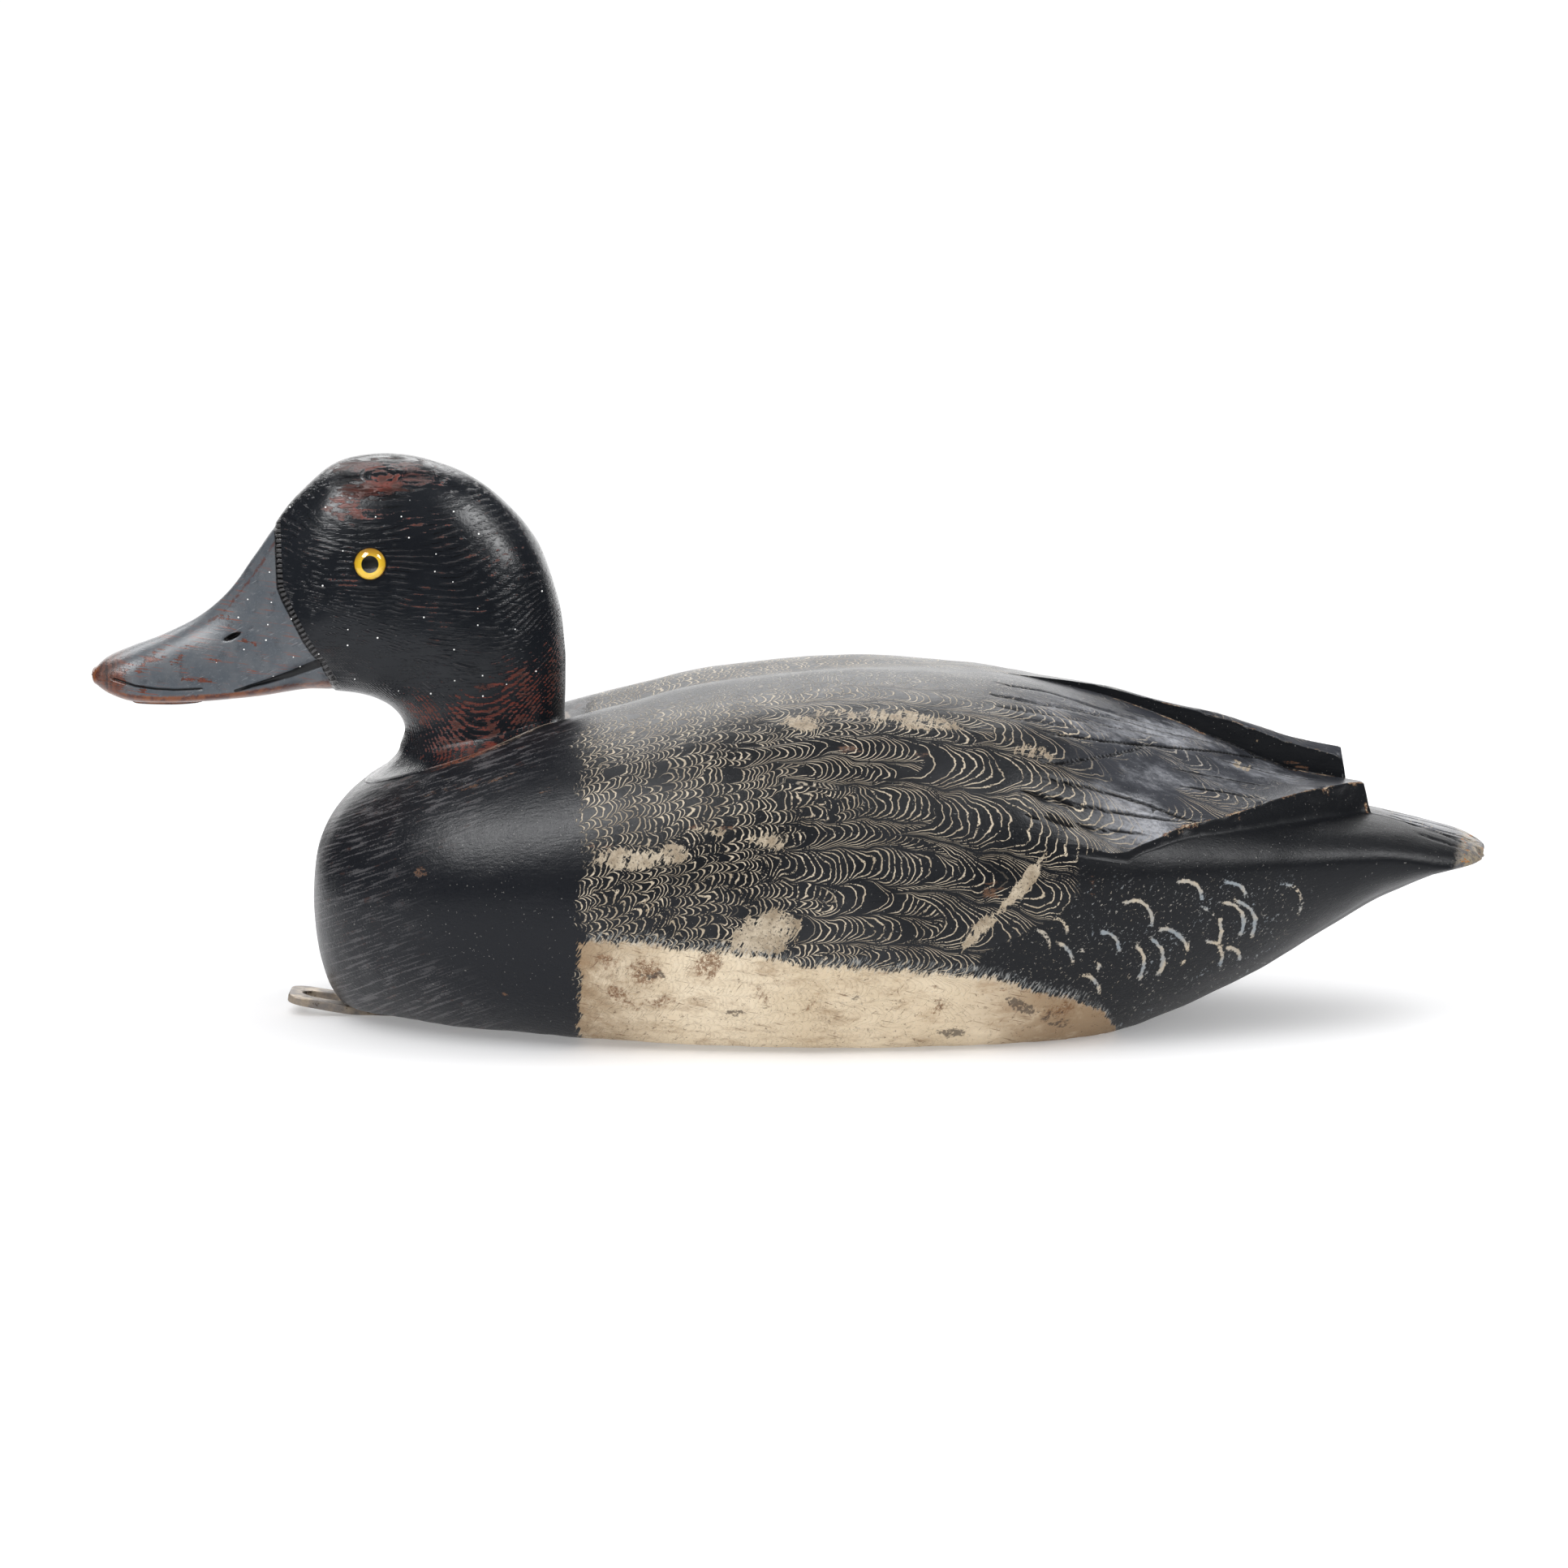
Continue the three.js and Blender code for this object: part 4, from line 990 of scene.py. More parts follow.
def build_eye(name, side):
    """A glass eye turned about its own axis, and the painted bowl of the iris sealed in it.

    The glass is half an ellipse in front and a shallower one behind. The iris rises with the square
    of the share of the way to its rim, and its middle is lifted a little.
    """
    place, normal = eye_place(side)
    across, up = eye_axes(normal)
    turn = np.linspace(0, 2 * np.pi, EYE_SIDES, endpoint=False)[:, None]
    spokes = np.cos(turn) * across + np.sin(turn) * up
    angle = np.linspace(-np.pi / 2, np.pi / 2, EYE_RINGS + 2)[1:-1, None, None]
    depth = np.where(angle < 0, EYE_BACK, EYE_DOME) * np.sin(angle)
    points = place + depth * normal + EYE_RADIUS * np.cos(angle) * spokes
    glass = put_mesh(name + "_glass", points, (place - EYE_BACK * normal, place + EYE_DOME * normal))
    share = np.linspace(0.0, 1.0, IRIS_RINGS + 1)[1:, None, None]
    middle = place + up * PUPIL_LIFT - IRIS_DEPTH * normal
    bowl = (IRIS_RISE * share**2 - IRIS_DEPTH) * normal
    disc = place + up * PUPIL_LIFT * (1 - share) + bowl + share * EYE_RADIUS * IRIS_SHARE * spokes
    disc = np.concatenate([disc, disc[-1:] - IRIS_THICKNESS * normal])
    shares = np.append(share, 1.0)[:, None] + np.zeros((len(disc), EYE_SIDES))
    behind = place - (IRIS_DEPTH + IRIS_BACK) * normal
    return glass, put_mesh(name + "_iris", disc, (middle, behind), {"share": shares})


TIE_LOOP = 160
TIE_EDGE = 0.45
SLOT_WIDTH = 8.0
SLOT_LENGTH = 12.0
SLOT_FROM_END = 3.4
TIE_CORNER = 5.0
TIE_BACK_CORNER = 0.6
TIE_RUNS = (0.15, 0.3, 0.45, 0.6, 0.75, 0.9)


def rounded_reach(angle, front, back, half, corner, back_corner):
    """How far a rounded rectangle's edge lies from the origin in each direction, by its traced outline."""
    outline = []
    for cx, cy, r, start in (
        (back - back_corner, half - back_corner, back_corner, 0.0),
        (front + corner, half - corner, corner, 90.0),
        (front + corner, -half + corner, corner, 180.0),
        (back - back_corner, -half + back_corner, back_corner, 270.0),
    ):
        turn = np.radians(start + np.linspace(0, 90, 24))
        outline.append(np.stack([cx + r * np.cos(turn), cy + r * np.sin(turn)], axis=-1))
    outline = densify(np.concatenate(outline + [outline[0][:1]]), 0.1)
    bearing = np.arctan2(outline[:, 1], outline[:, 0]) % (2 * np.pi)
    order = np.argsort(bearing)
    reach = np.hypot(*outline[order].T)
    return np.interp(angle, bearing[order], reach, period=2 * np.pi)


def build_tie():
    """The line tie: a strap with a slot, its section rounded at the edges, bent up at the front.

    Every line of the grid runs from the strap's outer edge over the top to the slot's edge and back
    underneath. The flat strap is then laid along the path of its two runs.
    """
    angle = np.linspace(0, 2 * np.pi, TIE_LOOP, endpoint=False)
    middle = -TIE_REACH + SLOT_FROM_END + SLOT_LENGTH / 2
    back = TIE_BEND_X - TIE_BACK_X
    outer = rounded_reach(
        angle, -TIE_REACH - middle, -back - middle, TIE_WIDTH / 2, TIE_CORNER, TIE_BACK_CORNER
    )
    slot_round = SLOT_WIDTH / 2 - 0.01
    inner = rounded_reach(angle, -SLOT_LENGTH / 2, SLOT_LENGTH / 2, SLOT_WIDTH / 2, slot_round, slot_round)
    half = TIE_THICKNESS / 2
    turns = np.linspace(0, np.pi / 2, 5)
    corner = [(TIE_EDGE * (1 - math.cos(t)), TIE_EDGE * (1 - math.sin(t))) for t in turns]
    steps = []
    for share, up, rounding, runs in (
        (0, -1, corner[::-1], ()),
        (0, 1, corner, TIE_RUNS),
        (1, 1, corner[::-1], ()),
        (1, -1, corner, TIE_RUNS[::-1]),
    ):
        steps += [(share, inset, up * (half - cut)) for inset, cut in rounding]
        steps += [(between, TIE_EDGE, up * half) for between in runs]
    rows = []
    for share, inset, height in steps:
        reach = mix(outer - inset, inner + inset, share)
        row = (middle + reach * np.cos(angle), reach * np.sin(angle), np.full(len(angle), height))
        rows.append(np.stack(row, axis=-1))
    flat = np.array(rows)
    flat[..., 1] += wander(flat * [1, 1, 0], 9, 31) * 0.12
    return put_mesh("slotted_tie", bend_tie(flat), rows_closed=True)


def bend_tie(flat):
    """Lays a flat strap along its path: level with the bottom behind the bend, rising in front of it."""
    s, y, h = flat[..., 0], flat[..., 1], flat[..., 2]
    h = h + wander(flat, 12, 33) * 0.08

    def tilt_at(run):
        return mix(-math.atan(BOTTOM_SLOPE), -TIE_RISE, smooth(-run, -2.0, 4.0))

    tilt = tilt_at(s)
    fine = np.linspace(-TIE_REACH - 2, TIE_BACK_X - TIE_BEND_X + 2, 600)
    steps = np.diff(fine)
    rise = np.concatenate([[0], np.cumsum(np.sin(tilt_at(fine[:-1])) * steps)])
    run = np.concatenate([[0], np.cumsum(np.cos(tilt_at(fine[:-1])) * steps)])
    x = TIE_BEND_X + np.interp(s, fine, run) - np.interp(0, fine, run)
    bend_z = (TIE_BACK_X - TIE_BEND_X) * BOTTOM_SLOPE
    z = bend_z + TIE_THICKNESS / 2 + np.interp(s, fine, rise) - np.interp(0, fine, rise)
    return np.stack([x - h * np.sin(tilt), y, np.maximum(z + h * np.cos(tilt), 0)], axis=-1)


# Gloss of the paints, the grain's knot on the crown and ridges, and the ticks along the bill
BODY_GLOSS = 0.19
HEAD_GLOSS = 0.28
KNOT_SEEN = (-108.0, 143.2)
GRAIN_PITCH = 1.45
STITCH_PITCH = 1.35


class Wire:
    """An output of a shader node. Arithmetic on it adds the math node that works it out."""

    def __init__(self, nodes, socket):
        self.nodes = nodes
        self.socket = socket

    def math(self, operation, *others):
        node = self.nodes.add("ShaderNodeMath", operation=operation)
        for k, value in enumerate((self, *others)):
            self.nodes.plug(value, node.inputs[k])
        return Wire(self.nodes, node.outputs[0])

    def __add__(self, other):
        return self.math("ADD", other)

    def __sub__(self, other):
        return self.math("SUBTRACT", other)

    def __mul__(self, other):
        return self.math("MULTIPLY", other)

    def __truediv__(self, other):
        return self.math("DIVIDE", other)

    def __neg__(self):
        return self.math("MULTIPLY", -1.0)

    def __rsub__(self, other):
        return (-self) + other

    def __rtruediv__(self, other):
        return self.math("POWER", -1.0) * other

    __radd__ = __add__
    __rmul__ = __mul__

    def rise(self, low, high, bottom=0.0, top=1.0):
        """A smooth step from bottom at low to top at high."""
        node = self.nodes.add("ShaderNodeMapRange", interpolation_type="SMOOTHSTEP")
        keys = ("Value", "From Min", "From Max", "To Min", "To Max")
        for key, value in zip(keys, (self, low, high, bottom, top)):
            self.nodes.plug(value, node.inputs[key])
        return Wire(self.nodes, node.outputs[0])

    def fall(self, low, high):
        """A smooth step from 1 at low to 0 at high."""
        return self.rise(low, high, 1.0, 0.0)

    def shake(self, amount):
        """A noise moved to lie about 0 and made as high as the amount."""
        return (self - 0.5) * amount

    def rest(self):
        """What a share leaves: one less it."""
        return 1.0 - self

    def size(self):
        return self.math("ABSOLUTE")

    def most(self, other):
        return self.math("MAXIMUM", other)


class Finish:
    """A procedural material: its nodes are added by short calls, and its places are in millimetres.

    A colour is a tuple of three 0 to 255 screen values, a property of the decoy's paints or an output.
    """

    def __init__(self, name):
        self.material = bpy.data.materials.new(name)
        self.material.use_nodes = True
        self.tree = self.material.node_tree
        self.tree.nodes.clear()
        self.shader = self.add("ShaderNodeBsdfPrincipled")
        output = self.add("ShaderNodeOutputMaterial")
        self.tree.links.new(self.shader.outputs[0], output.inputs[0])
        coords = self.add("ShaderNodeTexCoord")
        self.place = self.scaled(coords.outputs["Object"], (1 / MM, 1 / MM, 1 / MM))

    def add(self, kind, **settings):
        node = self.tree.nodes.new(kind)
        for key, value in settings.items():
            setattr(node, key, value)
        return node

    def plug(self, value, socket):
        if isinstance(value, Wire):
            value = value.socket
        if isinstance(value, bpy.types.NodeSocket):
            self.tree.links.new(value, socket)
        elif socket.type == "RGBA":
            socket.default_value = (*(linear(*value) if isinstance(value, tuple) else value), 1.0)
        else:
            socket.default_value = value

    def scaled(self, vector, scale):
        node = self.add("ShaderNodeVectorMath", operation="MULTIPLY")
        self.plug(vector, node.inputs[0])
        node.inputs[1].default_value = scale
        return node.outputs[0]

    def split(self, vector):
        """A vector's three lengths."""
        node = self.add("ShaderNodeSeparateXYZ")
        self.plug(vector, node.inputs[0])
        return [Wire(self, output) for output in node.outputs]

    def vector(self, *parts):
        node = self.add("ShaderNodeCombineXYZ")
        for k, part in enumerate(parts):
            self.plug(part, node.inputs[k])
        return node.outputs[0]

    def value(self, name):
        return Wire(self, self.add("ShaderNodeAttribute", attribute_name=name).outputs["Fac"])

    def pair(self, name):
        """A UV map's two lengths, in millimetres."""
        u, v, _ = self.split(self.add("ShaderNodeUVMap", uv_map=name).outputs[0])
        return u / (UV_PER_METRE * MM), v / (UV_PER_METRE * MM)

    def noise(self, size, detail=2.0, rough=0.5, stretch=(1, 1, 1), at=None, offset=(0, 0, 0)):
        """Noise from 0 to 1 whose marks are about size mm, longer where stretch is larger."""
        node = self.add("ShaderNodeTexNoise")
        mapping = self.add("ShaderNodeMapping")
        self.plug(at or self.place, mapping.inputs["Vector"])
        mapping.inputs["Scale"].default_value = [1 / (size * s) for s in stretch]
        mapping.inputs["Location"].default_value = offset
        self.plug(mapping.outputs[0], node.inputs["Vector"])
        for key, value in (("Scale", 1.0), ("Detail", detail), ("Roughness", rough)):
            node.inputs[key].default_value = value
        return Wire(self, node.outputs[0])

    def strokes(self, size, length, degrees, places, detail=3.0, rough=0.6, offset=(0, 0, 0)):
        """Noise whose marks are length times as long as wide, and lie at an angle to the seen level."""
        a, b = places
        turn = math.radians(degrees)
        c, s = math.cos(turn), math.sin(turn)
        at = self.vector(a * c + b * s, b * c - a * s, 0.0)
        return self.noise(size, detail, rough, (length, 1, 1), at, offset)

    def chance(self, index, seed):
        """A random number from 0 to 1 for each whole index."""
        node = self.add("ShaderNodeTexWhiteNoise", noise_dimensions="2D")
        self.plug(self.vector(index, seed, 0.0), node.inputs["Vector"])
        return Wire(self, node.outputs["Value"])

    def mix(self, share, first, second):
        node = self.add("ShaderNodeMix", data_type="RGBA")
        for k, value in ((0, share), (6, first), (7, second)):
            self.plug(value, node.inputs[k])
        return node.outputs[2]

    def layers(self, ground, *coats):
        """A ground colour with coats laid over it in turn, each given by its share and its colour."""
        for share, tint in coats:
            ground = self.mix(share, ground, tint)
        return ground

    def finish(self, colour, rough, height, gloss=0.5):
        """Puts the colour, roughness, gloss and a bump from a height in millimetres on the shader."""
        self.shader.inputs["Specular IOR Level"].default_value = gloss
        self.plug(colour, self.shader.inputs["Base Color"])
        self.plug(rough, self.shader.inputs["Roughness"])
        node = self.add("ShaderNodeBump")
        node.inputs["Distance"].default_value = MM
        self.plug(height, node.inputs["Height"])
        self.plug(node.outputs[0], self.shader.inputs["Normal"])
        return self.material


def linear(red, green, blue):
    """A colour given as 0 to 255 screen values, as the shader's linear values."""
    parts = np.array([red, green, blue]) / 255
    return tuple(float(v) for v in np.where(parts < 0.04045, parts / 12.92, ((parts + 0.055) / 1.055) ** 2.4))


def comb_rows(f, along, around, fray, row, bulge, pitch, width, seed, begin, drop, delay=0.0):
    """Rows of nested arcs that bulge to the tail, as a comb leaves them in wet paint.

    Each row is a lane of the given height. Its arcs are half ellipses: the distance along, less the
    bulge times the square root of one less the square of the place across the lane, cut into steps.
    Each row starts at a random place, and a share of the lines is left out.
    Returns the lines' share and the share of the surface that the rows cover.
    """
    lane = around / row
    index = lane.math("FLOOR")
    across = (lane - index) * 2.0 - 1.0
    luck = f.chance(index, seed)
    arch = (1.0 - across * across).most(0.0008).math("POWER", 0.44)
    reach = along - arch * (bulge * 0.7 + luck * (bulge * 0.6))
    phase = reach / pitch + luck * 17.0 + fray
    number = phase.math("FLOOR")
    gap = (phase - number - 0.5).size() * pitch
    slope = across.size() / arch * (2.0 * bulge / row)
    steep = (slope * slope + 1.0).math("SQRT")
    thick = (1.0 / steep * 0.7 + 0.3) * width
    line = (gap / steep / (thick * 0.5)).fall(0.6, 1.4) * slope.fall(2.5, 8.0)
    line = line * f.chance(number + index * 31.0, seed + 7).rise(drop - 0.01, drop + 0.01)
    inside = (reach - delay - (f.chance(index, seed + 3) * (begin[1] - begin[0]) + begin[0])).rise(-0.3, 0.3)
    return line * inside, inside


def body_places(f):
    """Places and noises that the body's coats share."""
    n = SimpleNamespace(seen=f.pair("Seen"), comb=f.pair("Comb"), x=f.split(f.place)[0])
    n.upper = n.comb[1].size().fall(18.0, 42.0)
    n.coarse = f.noise(9.0, 4.0, 0.6)
    n.fine = f.noise(1.2, 3.0, 0.6)
    n.streak = f.noise(1.0, 3.0, 0.6, stretch=(9, 1, 1))
    n.broad = f.noise(30.0, 3.0, 0.55)
    n.tiny = f.noise(0.45, 2.0, 0.6)
    n.grit = f.noise(0.8, 4.0, 0.75, offset=(3, 7, 7))
    n.ragged = f.noise(4.5, 4.0, 0.7, offset=(6, 1, 3))
    n.brush = f.strokes(0.9, 4.0, 62.0, n.seen, rough=0.65)
    breast = f.value("breast") + n.coarse.shake(14.0) + n.fine.shake(7.0) + n.grit.shake(8.0)
    n.in_front = breast.rise(-1.5, 1.5)
    n.in_flank = (f.value("flank") + n.coarse.shake(9.0) + n.fine.shake(4.0)).rise(-1.0, 1.0)
    n.off_wall = f.value("wall").rest()
    return n


def combed_lines(f, n, paint, ground):
    """The comb's lines: small scallops, then middle and large rows towards the tail, broken and faded; at the
    top of the back towards the breast fewer lines are drawn, partly as thinner lines and partly as painted
    shade against the sheen there.
    """
    around = n.comb[1] + f.noise(15.0, 2.0, 0.5, offset=(5, 1, 2)).shake(9.0)
    along = n.comb[0] + f.noise(14.0, 2.0, 0.5, offset=(1, 8, 4)).shake(9.0)
    fray = f.noise(1.6, 2.0, 0.6, offset=(3, 3, 3)).shake(0.5) + n.coarse.shake(1.1)
    nudge = f.noise(4.5, 2.0, 0.5, offset=(6, 6, 1)).shake(2.4)
    sway = f.noise(5.5, 2.0, 0.5, offset=(2, 7, 3)).shake(3.6)
    late = n.upper * 60.0
    pitch = paint.comb_pitch / MM
    from_start = (BREAST_X - 200, BREAST_X - 199)
    small, _ = comb_rows(
        f, along + nudge, around + sway, fray, 3.2, 2.3, pitch * 0.82, 0.34, 1.0, from_start, 0.08
    )
    middle, middle_in = comb_rows(f, along, around, fray, 8.0, 11.0, pitch, 0.31, 2.0, (-26, 14), 0.10, late)
    large, large_in = comb_rows(
        f, along, around, fray, 14.0, 18.0, pitch * 1.3, 0.36, 4.0, (14, 40), 0.12, late
    )
    lines = small + (middle - small) * middle_in
    lines = lines + (large - lines) * large_in
    breaks = f.noise(3.2, 4.0, 0.7, offset=(9, 4, 1)) + n.tiny.shake(0.8) - n.upper * 0.07
    breaks = breaks + f.noise(11.0, 2.0, 0.5, stretch=(1.8, 1, 1), offset=(7, 0, 5)).shake(0.35)
    front = (n.seen[0] + 10.0).fall(-20.0, 30.0)
    # Fewer lines on the top of the back towards the breast: partly thinner lines, partly painted shade
    # against the sheen there.
    return lines * breaks.rise(0.35, 0.44) * ground * (1.0 - n.upper * front * 0.7)


def flank_scales(f, n):
    """Scales and dots brushed on the rear flank, each scale broken into dashes."""
    a, b = n.seen
    dashes = f.strokes(0.75, 1.8, 35.0, n.seen, rough=0.7)
    dots = f.strokes(0.7, 2.0, 40.0, n.seen, rough=0.75, offset=(1, 6, 0)) + n.coarse.shake(0.2)
    dots = dots.rise(0.61, 0.65) * (a - 48.0).rise(0.0, 14.0)
    scales = dots * (a - 134.0).fall(-8.0, 8.0) * (b - 34.0).fall(-4.0, 6.0) * 0.7
    for k in range(SCALE_GROUPS):
        arc = (f.value("arc_off_%d" % k) + n.fine.shake(1.3) + n.coarse.shake(2.2)).size()
        drawn = f.value("arc_drawn_%d" % k) + dashes.shake(2.0) + n.grit.shake(0.7)
        scales = scales.most(arc.fall(0.28, 0.62) * drawn.rise(0.38, 0.62))
    return scales * n.in_flank


def panel_paint(f, n, paint):
    """The cream of the side panel, with its brown ends, stains, scratches and dark smudges."""
    a = n.seen[0]
    ends = (a + 50.0).fall(-8.0, 22.0).most((a - 70.0).rise(-30.0, 2.0))
    ends = ends * (n.broad + n.ragged.shake(0.7)).rise(0.15, 0.55)
    rust = (f.value("rust") + n.ragged.shake(2.4) + n.brush.shake(1.4)).rise(0.42, 1.0)
    stains = f.noise(6.0, 5.0, 0.75, stretch=(2.2, 1, 1), offset=(3, 9, 9)).rise(0.48, 0.72)
    blots = f.noise(3.0, 5.0, 0.75, stretch=(1.5, 1, 1), offset=(5, 2, 8)).rise(0.63, 0.72)
    hairs = f.strokes(1.3, 2.0, 12.0, n.seen, 5.0, 0.8).rise(0.58, 0.66)
    hairs = hairs.most(f.strokes(1.1, 2.4, 118.0, n.seen, 5.0, 0.8).rise(0.59, 0.67))
    hairs = hairs * (n.ragged + n.fine.shake(0.5)).rise(0.34, 0.52)
    scratches = f.strokes(0.5, 16.0, -12.0, n.seen, offset=(4, 4, 0)).rise(0.61, 0.66)
    steep = f.strokes(0.45, 12.0, 48.0, n.seen).rise(0.63, 0.68)
    scratches = scratches.most(steep) * n.coarse.rise(0.38, 0.6)
    patches = f.noise(1.1, 4.0, 0.75, offset=(7, 7, 1)).rise(0.60, 0.66)
    patches = patches * (n.broad + n.coarse.shake(0.8)).rise(0.45, 0.65)
    smudge = (f.value("smudge") + n.fine.shake(1.5) + n.ragged.shake(1.6)).rise(0.55, 0.8)
    return f.layers(
        paint.panel_cream,
        (n.broad.rise(0.35, 0.7), (206, 188, 160)),
        (n.grit.rise(0.52, 0.68) * 0.4, (216, 206, 188)),
        (ends * 0.9, (140, 116, 88)),
        (rust * n.grit.rise(0.38, 0.56) * 0.85, (112, 76, 48)),
        (stains * 0.6, (146, 118, 88)),
        (blots * 0.7, (120, 84, 56)),
        (hairs * 0.75, (88, 66, 50)),
        (scratches * 0.7, (104, 78, 58)),
        (patches * 0.5, (96, 72, 52)),
        (smudge * 0.75, (66, 58, 54)),
    )


def ground_paint(f, n, paint, combed):
    """Black on the breast and back, grey on the wings with pale patches over them, partly dusty and partly
    painted sheen, and a dusty grey over the combed back.
    """
    wing = f.value("wing")
    worn_grey = f.noise(16.0, 4.0, 0.6, stretch=(2, 1, 1), offset=(2, 6, 1)).rise(0.30, 0.55, 0.45, 1.0)
    # Pale patches on the wing tops: partly dusty paint, partly painted sheen.
    dusty_sheen = f.value("dust_and_sheen") + f.noise(5.0, 5.0, 0.75, stretch=(2.5, 1, 1), offset=(4, 2, 2)).shake(2.0)
    broken = (n.grit + n.streak.shake(0.8)).rise(0.3, 0.62, 0.45, 1.0)
    dusty_sheen = dusty_sheen.rise(0.2, 1.2) * wing * n.off_wall * broken
    return f.layers(
        (20, 22, 26),
        (n.in_front, paint.breast_black),
        (wing * worn_grey * n.off_wall, paint.wing_grey),
        (dusty_sheen * 0.95, (168, 170, 176)),
        (n.broad.rise(0.35, 0.75) * 0.4 * combed, (58, 59, 62)),
    )


def tail_paint(f, n):
    """Bare wood at the tail's end, grey and brown with rusty spots."""
    spots = f.noise(1.8, 2.0, 0.6, offset=(9, 1, 2)).rise(0.62, 0.68)
    return f.layers(
        (150, 138, 118),
        (n.ragged.rise(0.40, 0.6), (92, 92, 96)),
        (n.grit.rise(0.5, 0.6) * 0.6, (60, 56, 54)),
        (spots, (168, 106, 34)),
    )


def body_finish(paint):
    """Old paint on the body: black breast, combed back, cream side panel, grey wings, worn edges; painted
    shade in the cuts, along the neck's seam and on the top of the back, and painted sheen in the pale patches
    on the wings.
    """
    f = Finish("old_body_paint")
    n = body_places(f)
    a, b = n.seen
    off_wing = 1.0 - f.value("wing") * f.noise(19.0, 3.0, 0.6, offset=(4, 4, 9)).rise(0.42, 0.55)
    combed = n.in_front.rest() * n.in_flank.rest() * n.off_wall * off_wing
    lines = combed_lines(f, n, paint, combed)
    # On the top of the back the lines are painted greyer and darker: painted shade where the most light falls
    # and the sheen lies.
    line_colour = f.layers(
        paint.comb_cream, (n.coarse.rise(0.35, 0.7), (152, 138, 118)), (n.upper * 0.7, (140, 139, 138))
    )
    cream = (f.value("cream") + n.ragged.shake(2.2) + n.brush.shake(1.6)).rise(0.80, 0.96)
    cream = cream * n.in_front.rest() * (1.0 - 0.6 * n.grit.fall(0.40, 0.46))

    feather = f.strokes(0.5, 5.0, 58.0, n.seen, rough=0.65, offset=(2, 0, 4))
    panel = f.value("panel") + n.brush.shake(4.5) + feather.shake(4.5)
    panel = panel + n.coarse.shake(5.0) + n.ragged.shake(2.5)
    in_panel = panel.rise(-0.3, 0.5)
    fringe = panel.rise(-3.0, -0.6) * panel.fall(0.2, 1.8) * feather.rise(0.47, 0.60)
    fringe = fringe * (b + 4.0).rise(-6.0, 6.0)
    fringe = fringe * (a - PANEL_FRONT).rise(1.0, 4.0) * n.coarse.rise(0.35, 0.6, 0.3, 1.0)

    edge = (f.value("edge") + n.coarse.shake(3.0) + n.ragged.shake(3.0) + n.fine.shake(1.6)).fall(0.0, 0.45)
    brown = (f.value("brown") + n.ragged.shake(1.6) + n.streak.shake(1.4)).rise(0.6, 0.85)
    brown = brown * (n.grit + n.fine.shake(0.5)).rise(0.36, 0.52)
    tail = (f.value("tail_end") + n.ragged.shake(9.0) + n.grit.shake(5.0)).rise(-0.4, 1.2)
    cut = f.value("cut") + n.fine.shake(0.35)

    seam = f.value("seam") + n.fine.shake(0.4)
    behind = n.x - NECK_SEAM_X
    grain = f.strokes(0.75, 11.0, 19.0, n.seen)
    near_neck = (f.value("seam") + n.broad.shake(14.0)).fall(9.0, 32.0) * n.in_front
    pale = (grain + n.tiny.shake(0.35)).rise(0.52, 0.61) * near_neck
    rub = (seam - 0.9).size().fall(0.5, 1.1) * behind.rise(-4.0, 6.0) * n.in_front
    rub = rub * (n.grit + grain.shake(1.2)).rise(0.44, 0.56)
    specks = f.noise(0.6, 1.0, 0.5, offset=(2, 2, 2)).rise(0.735, 0.76)

    colour = f.layers(
        ground_paint(f, n, paint, combed),
        (lines, line_colour),
        (flank_scales(f, n) * 0.8, f.mix(n.coarse.rise(0.35, 0.65), paint.comb_cream, (150, 158, 164))),
        (cream * 0.92, f.mix(n.ragged.rise(0.3, 0.7), paint.comb_cream, (150, 134, 112))),
        (in_panel, panel_paint(f, n, paint)),
        (fringe * 0.6, (172, 174, 172)),
        (edge * 0.9, f.mix(n.grit.rise(0.45, 0.6), (104, 68, 44), (178, 158, 130))),
        (brown * 0.75, f.mix(n.fine, (84, 56, 42), (124, 92, 68))),
        (tail * 0.9, tail_paint(f, n)),
        # Painted shade in the feather and tail cuts.
        (cut.fall(0.35, 0.85) * 0.9, (12, 13, 15)),
        # Painted shade along the seam where the neck's foot meets the breast.
        (seam.fall(0.35, 0.9) * n.in_front * behind.rise(-8.0, 8.0), (12, 12, 13)),
        (pale * 0.5, f.mix(n.ragged.rise(0.55, 0.65), (112, 110, 112), (92, 62, 52))),
        (rub * 0.9, f.mix((behind - 16.0).rise(-6.0, 6.0), (134, 76, 52), (158, 142, 128))),
        (specks * 0.5, (150, 148, 144)),
    )
    rough = n.coarse * 0.12 + n.grit * 0.2 + 0.15 + lines * 0.12
    rough = rough + in_panel * 0.2 + cream * 0.15 + n.in_flank * 0.08
    height = lines * 0.10 + n.grit * 0.08 + n.streak * 0.07 + n.coarse * 0.14 + grain * near_neck * 0.14
    height = height + n.tiny * 0.03 - cut.fall(0.0, 0.9) * 0.45 - edge * 0.08 - brown * 0.06
    return f.finish(colour, rough, height + in_panel * n.brush * 0.08, BODY_GLOSS)


